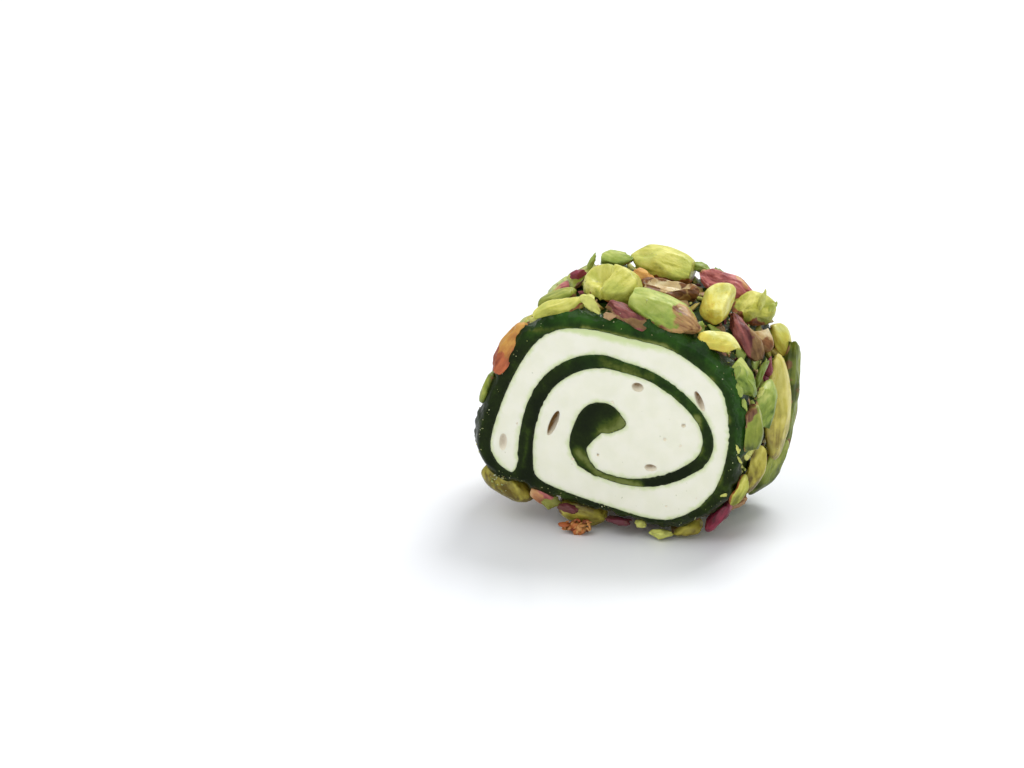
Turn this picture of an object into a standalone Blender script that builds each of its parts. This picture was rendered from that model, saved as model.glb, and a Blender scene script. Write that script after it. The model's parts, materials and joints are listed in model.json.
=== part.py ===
"""A slice of rolled Turkish delight: a green jelly sheet wound round white nougat, coated with pistachios.

The roll's axis lies along Y and its cut faces look along -Y (front) and +Y (back). X runs to the right
across the front face, Z points up, and the origin is on the ground below the middle of the bounding box.
The jelly is one sheet: it starts as a thick knob in the middle of the roll, winds outwards, and becomes
the outer skin. The nougat fills everything inside that skin. Pistachio kernels, whole, split and broken,
cling to the skin, and those underneath are pressed flat where the slice rests.
"""

import functools
import itertools
import math
import random
from dataclasses import dataclass, replace

import bmesh
import bpy
from mathutils import Matrix, Vector
from mathutils.bvhtree import BVHTree

MM = 0.001

# Driving dimensions, in millimetres unless a name says otherwise.
SLICE_LENGTH = 25.0  # from the front cut face to the back one
AXIS_HEIGHT = 17.2  # height of the sheet's middle above the ground
PIECE_GAP = 0.3  # clearance between neighbouring pieces
RIM_ROUND = 0.7  # radius of the skin's edge round each cut face
RIM_STEPS = 2
KNIFE_MARGIN = 1.0  # how far the nougat's cutter runs past each face
STEPS_PER_SPAN = 3  # points between two knots of the sheet's line
HEADING_STEP = 0.01  # how far apart, in knots, two points are that give the line's direction
SHORTEST_STEP = 0.15  # points of an edge lie at least this far apart

# The jelly sheet's middle line, wound counter-clockwise from its thick inner end to its tail,
# as (x, z, thickness) measured from the middle of the face.
SHEET_LINE = (
    (2.3, 0.2, 0.8),
    (0.3, 0.7, 4.0),
    (-1.9, 0.9, 4.8),
    (-3.7, -1.2, 3.7),
    (-4.8, -3.8, 2.6),
    (-3.6, -6.4, 1.8),
    (-1.2, -7.7, 0.9),
    (2.6, -8.4, 1.0),
    (6.5, -8.0, 1.4),
    (10.1, -6.6, 1.5),
    (13.3, -4.3, 1.6),
    (14.5, -1.3, 1.6),
    (13.4, 2.1, 1.4),
    (10.4, 5.2, 1.5),
    (6.2, 7.8, 1.5),
    (2.0, 8.9, 1.6),
    (-1.5, 9.5, 2.0),
    (-5.6, 8.4, 2.1),
    (-9.3, 5.5, 2.1),
    (-11.5, 1.4, 2.1),
    (-12.5, -3.2, 2.1),
    (-12.6, -7.2, 2.3),
    (-11.7, -9.7, 2.0),
    (-8.4, -11.1, 1.5),
    (-3.7, -12.3, 1.3),
    (1.0, -13.2, 1.0),
    (5.2, -14.0, 0.9),
    (9.3, -14.1, 1.4),
    (13.4, -12.1, 1.8),
    (16.4, -8.7, 1.9),
    (18.1, -3.6, 2.0),
    (18.5, 1.6, 2.0),
    (17.4, 7.0, 2.1),
    (14.0, 10.6, 2.5),
    (8.8, 13.3, 2.1),
    (3.0, 14.3, 2.1),
    (-3.0, 15.1, 2.0),
    (-8.0, 14.6, 2.0),
    (-11.9, 12.1, 2.1),
    (-15.2, 6.9, 2.1),
    (-17.8, 0.6, 2.2),
    (-19.1, -4.6, 2.3),
    (-17.9, -7.6, 2.0),
    (-15.6, -9.2, 1.4),
    (-13.2, -9.7, 1.2),
)
BAND_END_KNOT = 21  # where the inner band runs into the bottom skin
SKIN_START_KNOT = 22  # where the bottom skin starts, at that same corner
POCKET_KNOT = 43.4  # where the tail closes the nougat's pocket in the lower left corner

# Pistachio kernels.
KERNEL_SEGMENTS = 10
KERNEL_RINGS = 6
KERNEL_BLUNTNESS = 3.4  # 2 gives an ellipse seen from above, more gives fuller ends
KERNEL_TAPER = (0.06, 0.24)  # smallest and largest narrowing towards one end
KERNEL_BOW = 0.12  # largest sideways bend, as a share of half the width
KERNEL_SINK = 0.5  # how deep a kernel is pressed towards the skin
KERNEL_ROUGHNESS = 0.16  # uneven surface, as a share of half the thickness
SPLIT_BELLY = 0.1  # what is left of the underside's belly on a split kernel
FLAKE_SQUARENESS = 0.5  # 1 leaves a flake as round as a kernel, less makes it flatter and squarer
FLAKE_BREAK = 0.36  # where a flake ends, as a share of its length past its middle
FLAKE_SLANT = 0.9  # largest slant of a flake's broken end
KERNEL_BREAK = (0.22, 0.32)  # where a broken kernel ends, as shares of its length past its middle
KERNEL_SLANT = 0.4  # largest sideways slant of a broken kernel's end
KERNEL_TIP = (-0.3, 0.5)  # how far that end leans under or over
REST_HEIGHT = 0.0  # kernels are pressed flat here, on the ground
MAX_KERNELS = 57  # no more than this many are laid
SCATTER_SEED = 8
SCATTER_TRIES = 3000  # places tried at random before the coating is left as it is
SCATTER_SPACING = 3.6  # least distance between the middles of two kernels
FIT_SHARES = (1.0, 0.9, 0.8, 0.7, 0.6)  # a kernel is made smaller until it fits

WHOLE = "whole"
SPLIT = "split"
BROKEN = "broken"
FLAKE = "flake"

# sRGB colours of the kernels, by name.
TONES = {
    "yellow": (0.80, 0.78, 0.43),
    "green": (0.55, 0.67, 0.33),
    "olive": (0.55, 0.53, 0.22),
    "tan": (0.69, 0.52, 0.36),
    "purple": (0.58, 0.36, 0.40),
}


@dataclass(frozen=True)
class Kernel:
    """One kernel on the skin.

    around is its angle about the roll's axis in degrees (0 right, 90 top), depth is its distance behind
    the front face, turn is its heading in degrees (0 along the axis, 90 around the roll), and lean lifts
    its leading end, in degrees.
    """

    around: float
    depth: float
    turn: float
    length: float
    width: float
    thickness: float
    form: str
    tone: str
    lean: float = 0.0


# The kernels laid by hand, over the top and down the right side, then along the bottom.
LAID_KERNELS = (
    Kernel(85, 21.8, 78, 10.2, 6.4, 5.0, BROKEN, "yellow"),
    Kernel(67, 4.2, 80, 11.0, 6.0, 4.2, WHOLE, "green", 6),
    Kernel(98, 7.4, 150, 9.5, 6.4, 4.2, SPLIT, "yellow"),
    Kernel(54.5, 22.0, 100, 8.8, 4.4, 3.6, WHOLE, "purple"),
    Kernel(51, 12.8, 14, 8.6, 5.2, 4.6, BROKEN, "yellow"),
    Kernel(34, 10.6, 68, 7.6, 4.0, 3.2, WHOLE, "purple"),
    Kernel(1, 14.8, 84, 14.6, 4.8, 3.6, WHOLE, "olive"),
    Kernel(333, 19.4, 92, 10.5, 5.4, 3.8, WHOLE, "olive"),
    Kernel(310, 20.4, 88, 7.0, 5.4, 4.2, SPLIT, "green"),
    Kernel(40, 3.0, 108, 6.2, 4.0, 3.2, SPLIT, "yellow"),
    Kernel(74, 13.8, 108, 8.4, 3.6, 2.6, FLAKE, "tan"),
    Kernel(109, 22.0, 64, 6.2, 4.2, 2.8, FLAKE, "green"),
    Kernel(117, 14.6, 168, 8.6, 4.2, 2.6, FLAKE, "green"),
    Kernel(122, 6.4, 112, 6.6, 4.2, 3.0, WHOLE, "green"),
    Kernel(117, 1.6, 104, 7.0, 2.4, 2.2, SPLIT, "yellow"),
    Kernel(87, 0.9, 78, 5.0, 2.4, 2.4, FLAKE, "purple"),
    Kernel(91, 16.0, 66, 4.0, 2.8, 2.6, BROKEN, "tan"),
    Kernel(36, 19.8, 150, 6.4, 4.2, 4.0, SPLIT, "yellow"),
    Kernel(30, 15.0, 90, 5.2, 3.4, 3.2, BROKEN, "tan"),
    Kernel(22, 22.4, 90, 5.2, 3.6, 2.6, FLAKE, "yellow"),
    Kernel(22.5, 2.8, 104, 6.4, 4.8, 2.2, FLAKE, "green"),
    Kernel(8, 9.0, 36, 6.8, 4.6, 2.2, FLAKE, "green"),
    Kernel(1, 2.2, 88, 7.4, 3.8, 2.2, SPLIT, "green"),
    Kernel(340, 6.4, 98, 7.8, 4.2, 2.8, SPLIT, "olive"),
    Kernel(337, 12.4, 80, 7.0, 3.8, 3.0, WHOLE, "green"),
    Kernel(336, 1.6, 90, 5.2, 2.6, 2.4, FLAKE, "yellow"),
    Kernel(357, 22.0, 88, 8.4, 4.4, 3.4, FLAKE, "green"),
    Kernel(321, 8.6, 80, 4.8, 3.6, 2.8, BROKEN, "tan"),
    Kernel(318, 3.4, 90, 6.0, 4.2, 3.6, WHOLE, "purple"),
    Kernel(316, 14.0, 80, 7.0, 4.6, 3.6, WHOLE, "green"),
    Kernel(301, 2.8, 86, 6.0, 4.2, 3.8, WHOLE, "olive"),
    Kernel(301, 8.8, 30, 5.4, 3.8, 2.8, BROKEN, "yellow"),
    Kernel(250, 3.6, 80, 7.4, 4.8, 5.0, WHOLE, "olive"),
    Kernel(228, 1.9, 80, 4.2, 2.8, 2.8, BROKEN, "tan"),
    Kernel(211, 3.4, 86, 7.8, 5.0, 3.4, WHOLE, "olive"),
    Kernel(274, 8.6, 76, 8.0, 4.8, 3.4, SPLIT, "purple"),
    Kernel(288, 20.6, 76, 8.8, 5.2, 4.6, WHOLE, "green"),
    Kernel(256, 19.6, 80, 8.6, 5.4, 5.4, WHOLE, "olive"),
    Kernel(150, 3.2, 88, 7.6, 4.6, 2.7, WHOLE, "tan"),
    Kernel(173, 3.2, 80, 6.0, 4.4, 1.8, FLAKE, "green"),
    Kernel(131, 10.8, 70, 5.6, 3.8, 2.2, BROKEN, "purple"),
    Kernel(133, 19.0, 20, 8.6, 4.6, 2.2, FLAKE, "green"),
    Kernel(147, 11.4, 30, 8.2, 4.6, 2.4, FLAKE, "olive"),
)

# Sizes of the kernels scattered over the rest of the skin, as smallest and largest, and their kinds,
# the common ones named more than once.
SCATTER_LENGTH = (9.0, 12.0)
SCATTER_SLIMNESS = (0.5, 0.66)
SCATTER_THICKNESS = (2.4, 3.8)
SCATTER_FORMS = (WHOLE, WHOLE, SPLIT, BROKEN, FLAKE)
SCATTER_TONES = ("yellow", "green", "green", "olive", "tan", "purple")


def clear_scene():
    """Removes every object, so that the model starts from nothing."""
    for item in list(bpy.data.objects):
        bpy.data.objects.remove(item, do_unlink=True)


def linear(channel):
    """Turns one sRGB channel into the linear value that a shader takes."""
    if channel <= 0.04045:
        return channel / 12.92
    return ((channel + 0.055) / 1.055) ** 2.4


def make_material(name, colour, roughness, metallic=0.0):
    """Makes a plain material from an sRGB colour."""
    material = bpy.data.materials.new(name)
    material.use_nodes = True
    shader = material.node_tree.nodes["Principled BSDF"]
    shader.inputs["Base Color"].default_value = (*[linear(channel) for channel in colour], 1.0)
    shader.inputs["Roughness"].default_value = roughness
    shader.inputs["Metallic"].default_value = metallic
    return material


def jelly_material():
    """Dark green rose-and-pistachio jelly, moist and shiny."""
    return make_material("green_jelly", (0.14, 0.24, 0.09), 0.25)


def nougat_material():
    """Matt off-white nougat."""
    return make_material("white_nougat", (0.93, 0.93, 0.88), 0.7)


def kernel_materials():
    """Pistachio flesh and skin, one material for each tone."""
    return {tone: make_material("pistachio_" + tone, colour, 0.55) for tone, colour in TONES.items()}


def sheet_point(place):
    """Reads the sheet's line at a place counted in knots: x, z and thickness on a smooth curve."""
    last = len(SHEET_LINE) - 1
    knot = min(int(place), last - 1)
    share = place - knot
    before, start, end, after = (
        Vector(SHEET_LINE[min(max(index, 0), last)]) for index in range(knot - 1, knot + 3)
    )
    return 0.5 * (
        2.0 * start
        + (end - before) * share
        + (2.0 * before - 5.0 * start + 4.0 * end - after) * share**2
        + (3.0 * start - before - 3.0 * end + after) * share**3
    )


def sheet_heading(place):
    """Gives the direction of the sheet's line at a place, in the face."""
    ahead = sheet_point(min(place + HEADING_STEP, len(SHEET_LINE) - 1))
    behind = sheet_point(max(place - HEADING_STEP, 0.0))
    return (ahead - behind).to_2d().normalized()


def edge_run(first, last, side, extra=0.0):
    """Lists the sheet's edge points from one place to another.

    side is 1 for the edge towards the roll's middle and -1 for the outer one. Where the sheet is thicker
    than its bend allows, the edge would fold back on itself, and those points are left out.
    """
    count = max(1, round(abs(last - first) * STEPS_PER_SPAN))
    points = []
    for step in range(count + 1):
        place = first + (last - first) * step / count
        heading = sheet_heading(place)
        centre = sheet_point(place)
        inwards = Vector((-heading.y, heading.x))
        point = centre.to_2d() + inwards * side * (centre.z / 2.0 + extra)
        onwards = heading if last > first else -heading
        if not points or (point - points[-1]).dot(onwards) > SHORTEST_STEP:
            points.append(point)
    return points


def nougat_outline(extra=0.0):
    """Gives the nougat's outline: along the sheet's inner side and back up the band's outer side."""
    return edge_run(0.0, POCKET_KNOT, 1, extra) + edge_run(BAND_END_KNOT, 0.0, -1, extra)


@functools.lru_cache(maxsize=None)
def skin_outline(extra=0.0):
    """Gives the outside of the skin, once round the roll."""
    return edge_run(SKIN_START_KNOT, len(SHEET_LINE) - 1, -1, extra)


def face_to_world(point, depth):
    """Places a point of the face (x, z in mm) at a depth behind it, in world metres."""
    return Vector((point.x, depth, point.y + AXIS_HEIGHT)) * MM


def add_object(name, mesh, material):
    """Links a mesh as a named object with its material."""
    mesh.materials.append(material)
    item = bpy.data.objects.new(name, mesh)
    bpy.context.scene.collection.objects.link(item)
    return item


def prism(name, outline, start, end, rim=0.0):
    """Extrudes an outline along Y, with its two rims rounded where a radius is given."""
    shape = bmesh.new()
    corners = [shape.verts.new(face_to_world(point, start)) for point in outline]
    front = shape.faces.new(corners)
    grown = bmesh.ops.extrude_face_region(shape, geom=[front])["geom"]
    back = [item for item in grown if isinstance(item, bmesh.types.BMVert)]
    bmesh.ops.translate(shape, vec=Vector((0.0, (end - start) * MM, 0.0)), verts=back)
    bmesh.ops.recalc_face_normals(shape, faces=shape.faces)
    if rim:
        rims = [edge for edge in shape.edges if abs(edge.verts[0].co.y - edge.verts[1].co.y) < 1e-7]
        bmesh.ops.bevel(
            shape, geom=rims, offset=rim * MM, segments=RIM_STEPS, profile=0.5, affect="EDGES", material=-1
        )
    mesh = bpy.data.meshes.new(name)
    shape.to_mesh(mesh)
    shape.free()
    return mesh


def build_jelly(material):
    """Makes the jelly: the whole roll with rounded rims, less the room that the nougat fills."""
    jelly = add_object("jelly", prism("jelly", skin_outline(), 0.0, SLICE_LENGTH, RIM_ROUND), material)
    room = prism("nougat_room", nougat_outline(), -KNIFE_MARGIN, SLICE_LENGTH + KNIFE_MARGIN)
    cutter = add_object("nougat_room", room, material)
    cutter.hide_render = True
    cutter.display_type = "WIRE"
    cut = jelly.modifiers.new("nougat_room", "BOOLEAN")
    cut.operation = "DIFFERENCE"
    cut.solver = "EXACT"
    cut.object = cutter
    return jelly


def build_nougat(material):
    """Makes the nougat, which keeps clear of the jelly all along its spiral."""
    return add_object("nougat", prism("nougat", nougat_outline(PIECE_GAP), 0.0, SLICE_LENGTH), material)


def skin_frame(around):
    """Finds the skin at an angle about the axis: a point of the face, and the way out of the skin."""
    ray = Vector((math.cos(math.radians(around)), math.sin(math.radians(around))))
    outline = skin_outline()
    for start, end in zip(outline, outline[1:] + outline[:1]):
        run = end - start
        crossing = ray.x * run.y - ray.y * run.x
        if abs(crossing) < 1e-9:
            continue
        reach = (start.x * run.y - start.y * run.x) / crossing
        share = (start.x * ray.y - start.y * ray.x) / crossing
        if reach > 0.0 and -1e-9 <= share < 1.0:
            outwards = Vector((run.y, -run.x)).normalized()
            return ray * reach, outwards
    raise ValueError("the skin has no point at this angle")


def kernel_form(kernel, seed):
    """Models one kernel on its own, in mm: length along X, underside at Z = 0."""
    noise = random.Random(seed)
    shape = bmesh.new()
    bmesh.ops.create_uvsphere(
        shape, u_segments=KERNEL_SEGMENTS, v_segments=KERNEL_RINGS, radius=1.0,
        matrix=Matrix.Rotation(math.pi / 2.0, 4, "Y"),
    )
    taper = noise.uniform(*KERNEL_TAPER) * noise.choice((-1.0, 1.0))
    bow = noise.uniform(-KERNEL_BOW, KERNEL_BOW)
    for vertex in shape.verts:
        along, across, up = vertex.co
        roundness = math.sqrt(max(1.0 - along * along, 1e-6))
        fullness = (1.0 - abs(along) ** KERNEL_BLUNTNESS) ** 0.5 / roundness
        breadth = fullness * (1.0 + taper * along)
        if kernel.form == FLAKE:
            up = math.copysign(abs(up) ** FLAKE_SQUARENESS, up)
        elif kernel.form == SPLIT:
            up = up if up > 0.0 else -1.0 + SPLIT_BELLY * (1.0 + up)
        uneven = 1.0 + noise.uniform(-KERNEL_ROUGHNESS, KERNEL_ROUGHNESS)
        vertex.co = Vector((
            along * kernel.length / 2.0,
            (across * breadth + bow * (1.0 - along * along)) * kernel.width / 2.0,
            (up * uneven * 0.5 + 0.5) * kernel.thickness,
        ))
    if kernel.form == BROKEN:
        snap = Vector((1.0, noise.uniform(-KERNEL_SLANT, KERNEL_SLANT), noise.uniform(*KERNEL_TIP)))
        break_off(shape, Vector((kernel.length * noise.uniform(*KERNEL_BREAK), 0.0, 0.0)), snap)
    elif kernel.form == FLAKE:
        snap = Vector((1.0, noise.uniform(-FLAKE_SLANT, FLAKE_SLANT), 0.0))
        break_off(shape, Vector((kernel.length * FLAKE_BREAK, 0.0, 0.0)), snap)
    return shape


def break_off(shape, point, direction):
    """Cuts a closed shape with a plane, drops what lies beyond it and caps the cut."""
    parts = list(shape.verts) + list(shape.edges) + list(shape.faces)
    cut = bmesh.ops.bisect_plane(shape, geom=parts, plane_co=point, plane_no=direction, clear_outer=True)
    rim = [item for item in cut["geom_cut"] if isinstance(item, bmesh.types.BMEdge)]
    if rim:
        bmesh.ops.holes_fill(shape, edges=rim, sides=0)


def lay_kernel(kernel, seed):
    """Places a kernel on the skin, shaped to it underneath, in world metres."""
    shape = kernel_form(kernel, seed)
    foot, outwards = skin_frame(kernel.around)
    out = Vector((outwards.x, 0.0, outwards.y))
    axis = Vector((0.0, 1.0, 0.0))
    onwards = Vector((-outwards.y, 0.0, outwards.x))
    turn = math.radians(kernel.turn)
    heading = axis * math.cos(turn) + onwards * math.sin(turn)
    beside = out.cross(heading)
    place = Matrix((heading, beside, out)).transposed().to_4x4()
    place.translation = Vector((foot.x, kernel.depth, foot.y)) + out * (PIECE_GAP - KERNEL_SINK)
    lean = Matrix.Rotation(-math.radians(kernel.lean), 4, "Y")
    bmesh.ops.transform(shape, matrix=place @ lean, verts=shape.verts)
    press_on_skin(shape)
    for vertex in shape.verts:
        vertex.co = (vertex.co + Vector((0.0, 0.0, AXIS_HEIGHT))) * MM
    if min(vertex.co.z for vertex in shape.verts) < REST_HEIGHT:
        break_off(shape, Vector((0.0, 0.0, REST_HEIGHT)), Vector((0.0, 0.0, -1.0)))
    bmesh.ops.triangulate(shape, faces=shape.faces)
    bmesh.ops.recalc_face_normals(shape, faces=shape.faces)
    return shape


def press_on_skin(shape):
    """Pushes every point that lies too near the skin out to the gap that pieces keep."""
    outline = skin_outline(PIECE_GAP)
    for vertex in shape.verts:
        point = Vector((vertex.co.x, vertex.co.z))
        nearest = None
        for start, end in zip(outline, outline[1:] + outline[:1]):
            run = end - start
            share = min(max((point - start).dot(run) / run.length_squared, 0.0), 1.0)
            foot = start + run * share
            if nearest is None or (point - foot).length < nearest[0]:
                nearest = ((point - foot).length, foot, Vector((run.y, -run.x)).normalized())
        if (point - nearest[1]).dot(nearest[2]) < 0.0:
            vertex.co = Vector((nearest[1].x, vertex.co.y, nearest[1].y))


def is_clear(kernel, seed, placed):
    """Tells whether a kernel keeps the gap to those already laid."""
    roomy = replace(
        kernel,
        length=kernel.length + 2.0 * PIECE_GAP,
        width=kernel.width + 2.0 * PIECE_GAP,
        thickness=kernel.thickness + PIECE_GAP,
    )
    shape = lay_kernel(roomy, seed)
    tree = BVHTree.FromBMesh(shape)
    shape.free()
    return not any(tree.overlap(other) for other in placed)


def fit_kernel(kernel, seed, placed):
    """Makes a kernel as much smaller as it takes to lie clear of the others, or returns None."""
    for share in FIT_SHARES:
        fitted = replace(
            kernel,
            length=kernel.length * share,
            width=kernel.width * share,
            thickness=kernel.thickness * math.sqrt(share),
        )
        if is_clear(fitted, seed, placed):
            return fitted
    return None


def scattered_kernels(feet):
    """Yields kernels at random places on the skin, away from the feet of those already laid."""
    chance = random.Random(SCATTER_SEED)
    for _ in range(SCATTER_TRIES):
        length = chance.uniform(*SCATTER_LENGTH)
        width = length * chance.uniform(*SCATTER_SLIMNESS)
        turn = chance.uniform(0.0, 180.0)
        reach = (abs(math.cos(math.radians(turn))) * length + math.sin(math.radians(turn)) * width) / 2.0
        kernel = Kernel(
            around=chance.uniform(0.0, 360.0),
            depth=chance.uniform(reach, SLICE_LENGTH - reach),
            turn=turn,
            length=length,
            width=width,
            thickness=chance.uniform(*SCATTER_THICKNESS),
            form=chance.choice(SCATTER_FORMS),
            tone=chance.choice(SCATTER_TONES),
        )
        foot = kernel_foot(kernel)
        if all((foot - other).length > SCATTER_SPACING for other in feet):
            yield kernel


def kernel_foot(kernel):
    """Gives the point of the skin that a kernel lies on, in mm."""
    foot, _ = skin_frame(kernel.around)
    return Vector((foot.x, kernel.depth, foot.y))


def build_kernels(materials):
    """Lays the kernels: first the ones set by hand, then scattered ones wherever they fit."""
    placed = []
    feet = []
    for kernel in itertools.chain(LAID_KERNELS, scattered_kernels(feet)):
        if len(placed) == MAX_KERNELS:
            break
        number = len(placed) + 1
        fitted = fit_kernel(kernel, number, placed)
        if fitted is None:
            continue
        shape = lay_kernel(fitted, number)
        placed.append(BVHTree.FromBMesh(shape))
        feet.append(kernel_foot(kernel))
        name = "kernel_{:02d}".format(number)
        mesh = bpy.data.meshes.new(name)
        shape.to_mesh(mesh)
        shape.free()
        mesh.shade_smooth()
        add_object(name, mesh, materials[kernel.tone])


def centre_over_origin():
    """Moves the finished slice so that its bounding box stands centred over the origin."""
    pieces = [item for item in bpy.data.objects if item.type == "MESH"]
    solids = [item for item in pieces if not item.hide_render]
    points = [vertex.co for item in solids for vertex in item.data.vertices]
    middle_x = (min(point.x for point in points) + max(point.x for point in points)) / 2.0
    middle_y = (min(point.y for point in points) + max(point.y for point in points)) / 2.0
    for item in pieces:
        item.data.transform(Matrix.Translation((-middle_x, -middle_y, 0.0)))


def main():
    """Builds the whole slice."""
    clear_scene()
    build_jelly(jelly_material())
    build_nougat(nougat_material())
    build_kernels(kernel_materials())
    centre_over_origin()


main()
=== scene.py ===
"""The looks of a slice of rolled Turkish delight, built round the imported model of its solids.

The slice is white nougat wound in one sheet of green jelly and coated all round with pistachios. Its
roll lies along Y, its front cut face looks along -Y, +X is to the right of that face and +Z is up. Every
solid of the model is replaced by a finer piece on the same place: the jelly and the nougat are cut from
slabs with a knife's uneven face, and each kernel is grown from its own solid, wrinkled, chipped and
pressed into the jelly. Loose chips, papery skins and crumbs fill what the kernels leave bare.
"""

import json
import logging
import math
import random
from dataclasses import dataclass, field
from enum import Enum
from typing import Iterable, Optional, Sequence, Union

import bmesh
import bpy
import numpy as np
from mathutils import Matrix, Vector, noise
from mathutils.bvhtree import BVHTree
from mathutils.kdtree import KDTree

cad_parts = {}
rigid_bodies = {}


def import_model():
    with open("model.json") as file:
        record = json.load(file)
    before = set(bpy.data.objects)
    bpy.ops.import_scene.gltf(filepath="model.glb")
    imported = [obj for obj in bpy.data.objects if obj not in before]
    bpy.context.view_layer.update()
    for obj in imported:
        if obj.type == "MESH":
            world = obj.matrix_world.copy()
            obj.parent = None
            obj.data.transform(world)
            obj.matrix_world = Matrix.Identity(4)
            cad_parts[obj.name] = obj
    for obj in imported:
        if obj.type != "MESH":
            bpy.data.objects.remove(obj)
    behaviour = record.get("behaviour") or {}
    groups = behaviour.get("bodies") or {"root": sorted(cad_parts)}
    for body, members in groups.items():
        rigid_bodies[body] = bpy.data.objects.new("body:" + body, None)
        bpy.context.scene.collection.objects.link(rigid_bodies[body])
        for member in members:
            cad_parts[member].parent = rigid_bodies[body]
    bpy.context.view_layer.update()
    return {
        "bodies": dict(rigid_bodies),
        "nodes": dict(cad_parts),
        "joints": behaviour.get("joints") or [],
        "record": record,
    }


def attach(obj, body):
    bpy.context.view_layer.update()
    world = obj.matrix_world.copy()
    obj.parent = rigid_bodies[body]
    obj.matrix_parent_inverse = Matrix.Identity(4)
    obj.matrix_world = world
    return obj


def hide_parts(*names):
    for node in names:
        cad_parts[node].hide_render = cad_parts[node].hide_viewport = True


MM = 0.001
WELD = 1e-6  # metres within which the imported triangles' corners are one point
GROUND_GAP = 0.02 * MM  # nothing of the slice reaches lower than this
FRONT_REACH = -13.4 * MM  # nothing further forward
BACK_REACH = 13.4 * MM  # and nothing further back
OVERRUN = 2.0 * MM  # how far the nougat's outline is drawn past both cuts
WELL_OUTSIDE = 40.0 * MM  # further from the roll's middle than anything of it
FACE_MIDDLE = (0.42 * MM, 17.2 * MM)  # x and z of the middle of the cut faces
BODY = "root"

Colour = tuple[float, float, float, float]
Triple = tuple[float, float, float]
Stops = tuple[tuple[float, str], ...]  # places from 0 to 1 with their sRGB hex colours
Inputs = dict[Union[str, int], object]  # a node's inputs by name or number
Shape = bpy.types.Object
Socket = bpy.types.NodeSocket

log = logging.getLogger("turkish_delight")


class Slot(Enum):
    """Material slots of the record, which the finishes and the bits name; nothing in this script reads them.
    """

    JELLY = "jelly"
    NOUGAT = "nougat"
    YELLOW = "pistachio_yellow"
    GREEN = "pistachio_green"
    OLIVE = "pistachio_olive"
    TAN = "pistachio_tan"
    PURPLE = "pistachio_purple"


class Side(Enum):
    """The two cut faces, by the way that each looks along Y."""

    FRONT = -1
    BACK = 1


# ---------------------------------------------------------------- nodes and colours


def linear(code: str) -> Colour:
    """Turns an sRGB hex colour into the linear values that a shader takes.

    Args:
        code: the colour as "#RRGGBB".

    Returns:
        Red, green, blue and an alpha of 1.
    """
    channels = [int(code[place : place + 2], 16) / 255.0 for place in (1, 3, 5)]
    curve = [c / 12.92 if c <= 0.04045 else ((c + 0.055) / 1.055) ** 2.4 for c in channels]
    return curve[0], curve[1], curve[2], 1.0


def fill_inputs(node: bpy.types.Node, values: Inputs) -> None:
    """Fills a node's inputs.

    Args:
        node: the node.
        values: inputs by name or number, each a socket to link or a value to set.
    """
    for name, value in values.items():
        if isinstance(value, bpy.types.NodeSocket):
            node.id_data.links.new(value, node.inputs[name])
        else:
            node.inputs[name].default_value = value


def add_node(
    tree: bpy.types.NodeTree,
    kind: str,
    settings: Optional[dict[str, object]] = None,
    inputs: Optional[Inputs] = None,
) -> bpy.types.Node:
    """Adds a shader node, sets its properties and fills its inputs.

    Args:
        tree: the node tree that takes the node.
        kind: the node's type name, without its "ShaderNode".
        settings: properties of the node itself, by name.
        inputs: what its inputs get.

    Returns:
        The new node.
    """
    node = tree.nodes.new("ShaderNode" + kind)
    for name, value in (settings or {}).items():
        setattr(node, name, value)
    fill_inputs(node, inputs or {})
    return node


def colour_ramp(tree: bpy.types.NodeTree, value: Socket, stops: Stops) -> Socket:
    """Turns a value into a colour along hex stops.

    Args:
        tree: the node tree.
        value: the socket that chooses the place on the ramp.
        stops: places from 0 to 1 with their sRGB hex colours, in order.

    Returns:
        The ramp's colour socket.
    """
    ramp = add_node(tree, "ValToRGB", inputs={"Fac": value})
    elements = ramp.color_ramp.elements
    while len(elements) < len(stops):
        elements.new(1.0)
    for element, (place, code) in zip(elements, stops):
        element.position = place
        element.color = linear(code)
    return ramp.outputs["Color"]


def noise_value(
    tree: bpy.types.NodeTree, vector: Socket, grain_mm: float, detail: float = 3.0, unit: float = MM
) -> Socket:
    """Adds a noise whose lumps have a real size.

    Args:
        tree: the node tree.
        vector: the coordinates.
        grain_mm: the size of the lumps in millimetres.
        detail: how many finer layers the noise has.
        unit: what one millimetre measures in those coordinates.

    Returns:
        The noise's value socket, which stays around 0.5.
    """
    inputs = {"Vector": vector, "Scale": 1.0 / (grain_mm * unit), "Detail": detail}
    return add_node(tree, "TexNoise", inputs=inputs).outputs["Fac"]


def math_value(tree: bpy.types.NodeTree, operation: str, *values: object) -> Socket:
    """Adds a Math node on sockets or numbers, and returns its value socket."""
    return add_node(tree, "Math", {"operation": operation}, dict(enumerate(values))).outputs["Value"]


def product(tree: bpy.types.NodeTree, first: object, second: object) -> Socket:
    """Multiplies two values, each a socket or a number, and returns the product's socket."""
    return math_value(tree, "MULTIPLY", first, second)


def smooth_step(tree: bpy.types.NodeTree, value: Socket, low: float, high: float) -> Socket:
    """Adds a soft threshold.

    Args:
        tree: the node tree.
        value: the socket that is compared.
        low: where the result is 0.
        high: where it is 1; between them it rises smoothly.

    Returns:
        The result's socket.
    """
    settings = {"interpolation_type": "SMOOTHSTEP"}
    inputs = {"Value": value, "From Min": low, "From Max": high}
    return add_node(tree, "MapRange", settings, inputs).outputs["Result"]


def between(tree: bpy.types.NodeTree, value: Socket, low: float, high: float) -> Socket:
    """Stretches a value from 0 to 1 over low to high, and returns the result's socket."""
    inputs = {"Value": value, "To Min": low, "To Max": high}
    return add_node(tree, "MapRange", inputs=inputs).outputs["Result"]


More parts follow.
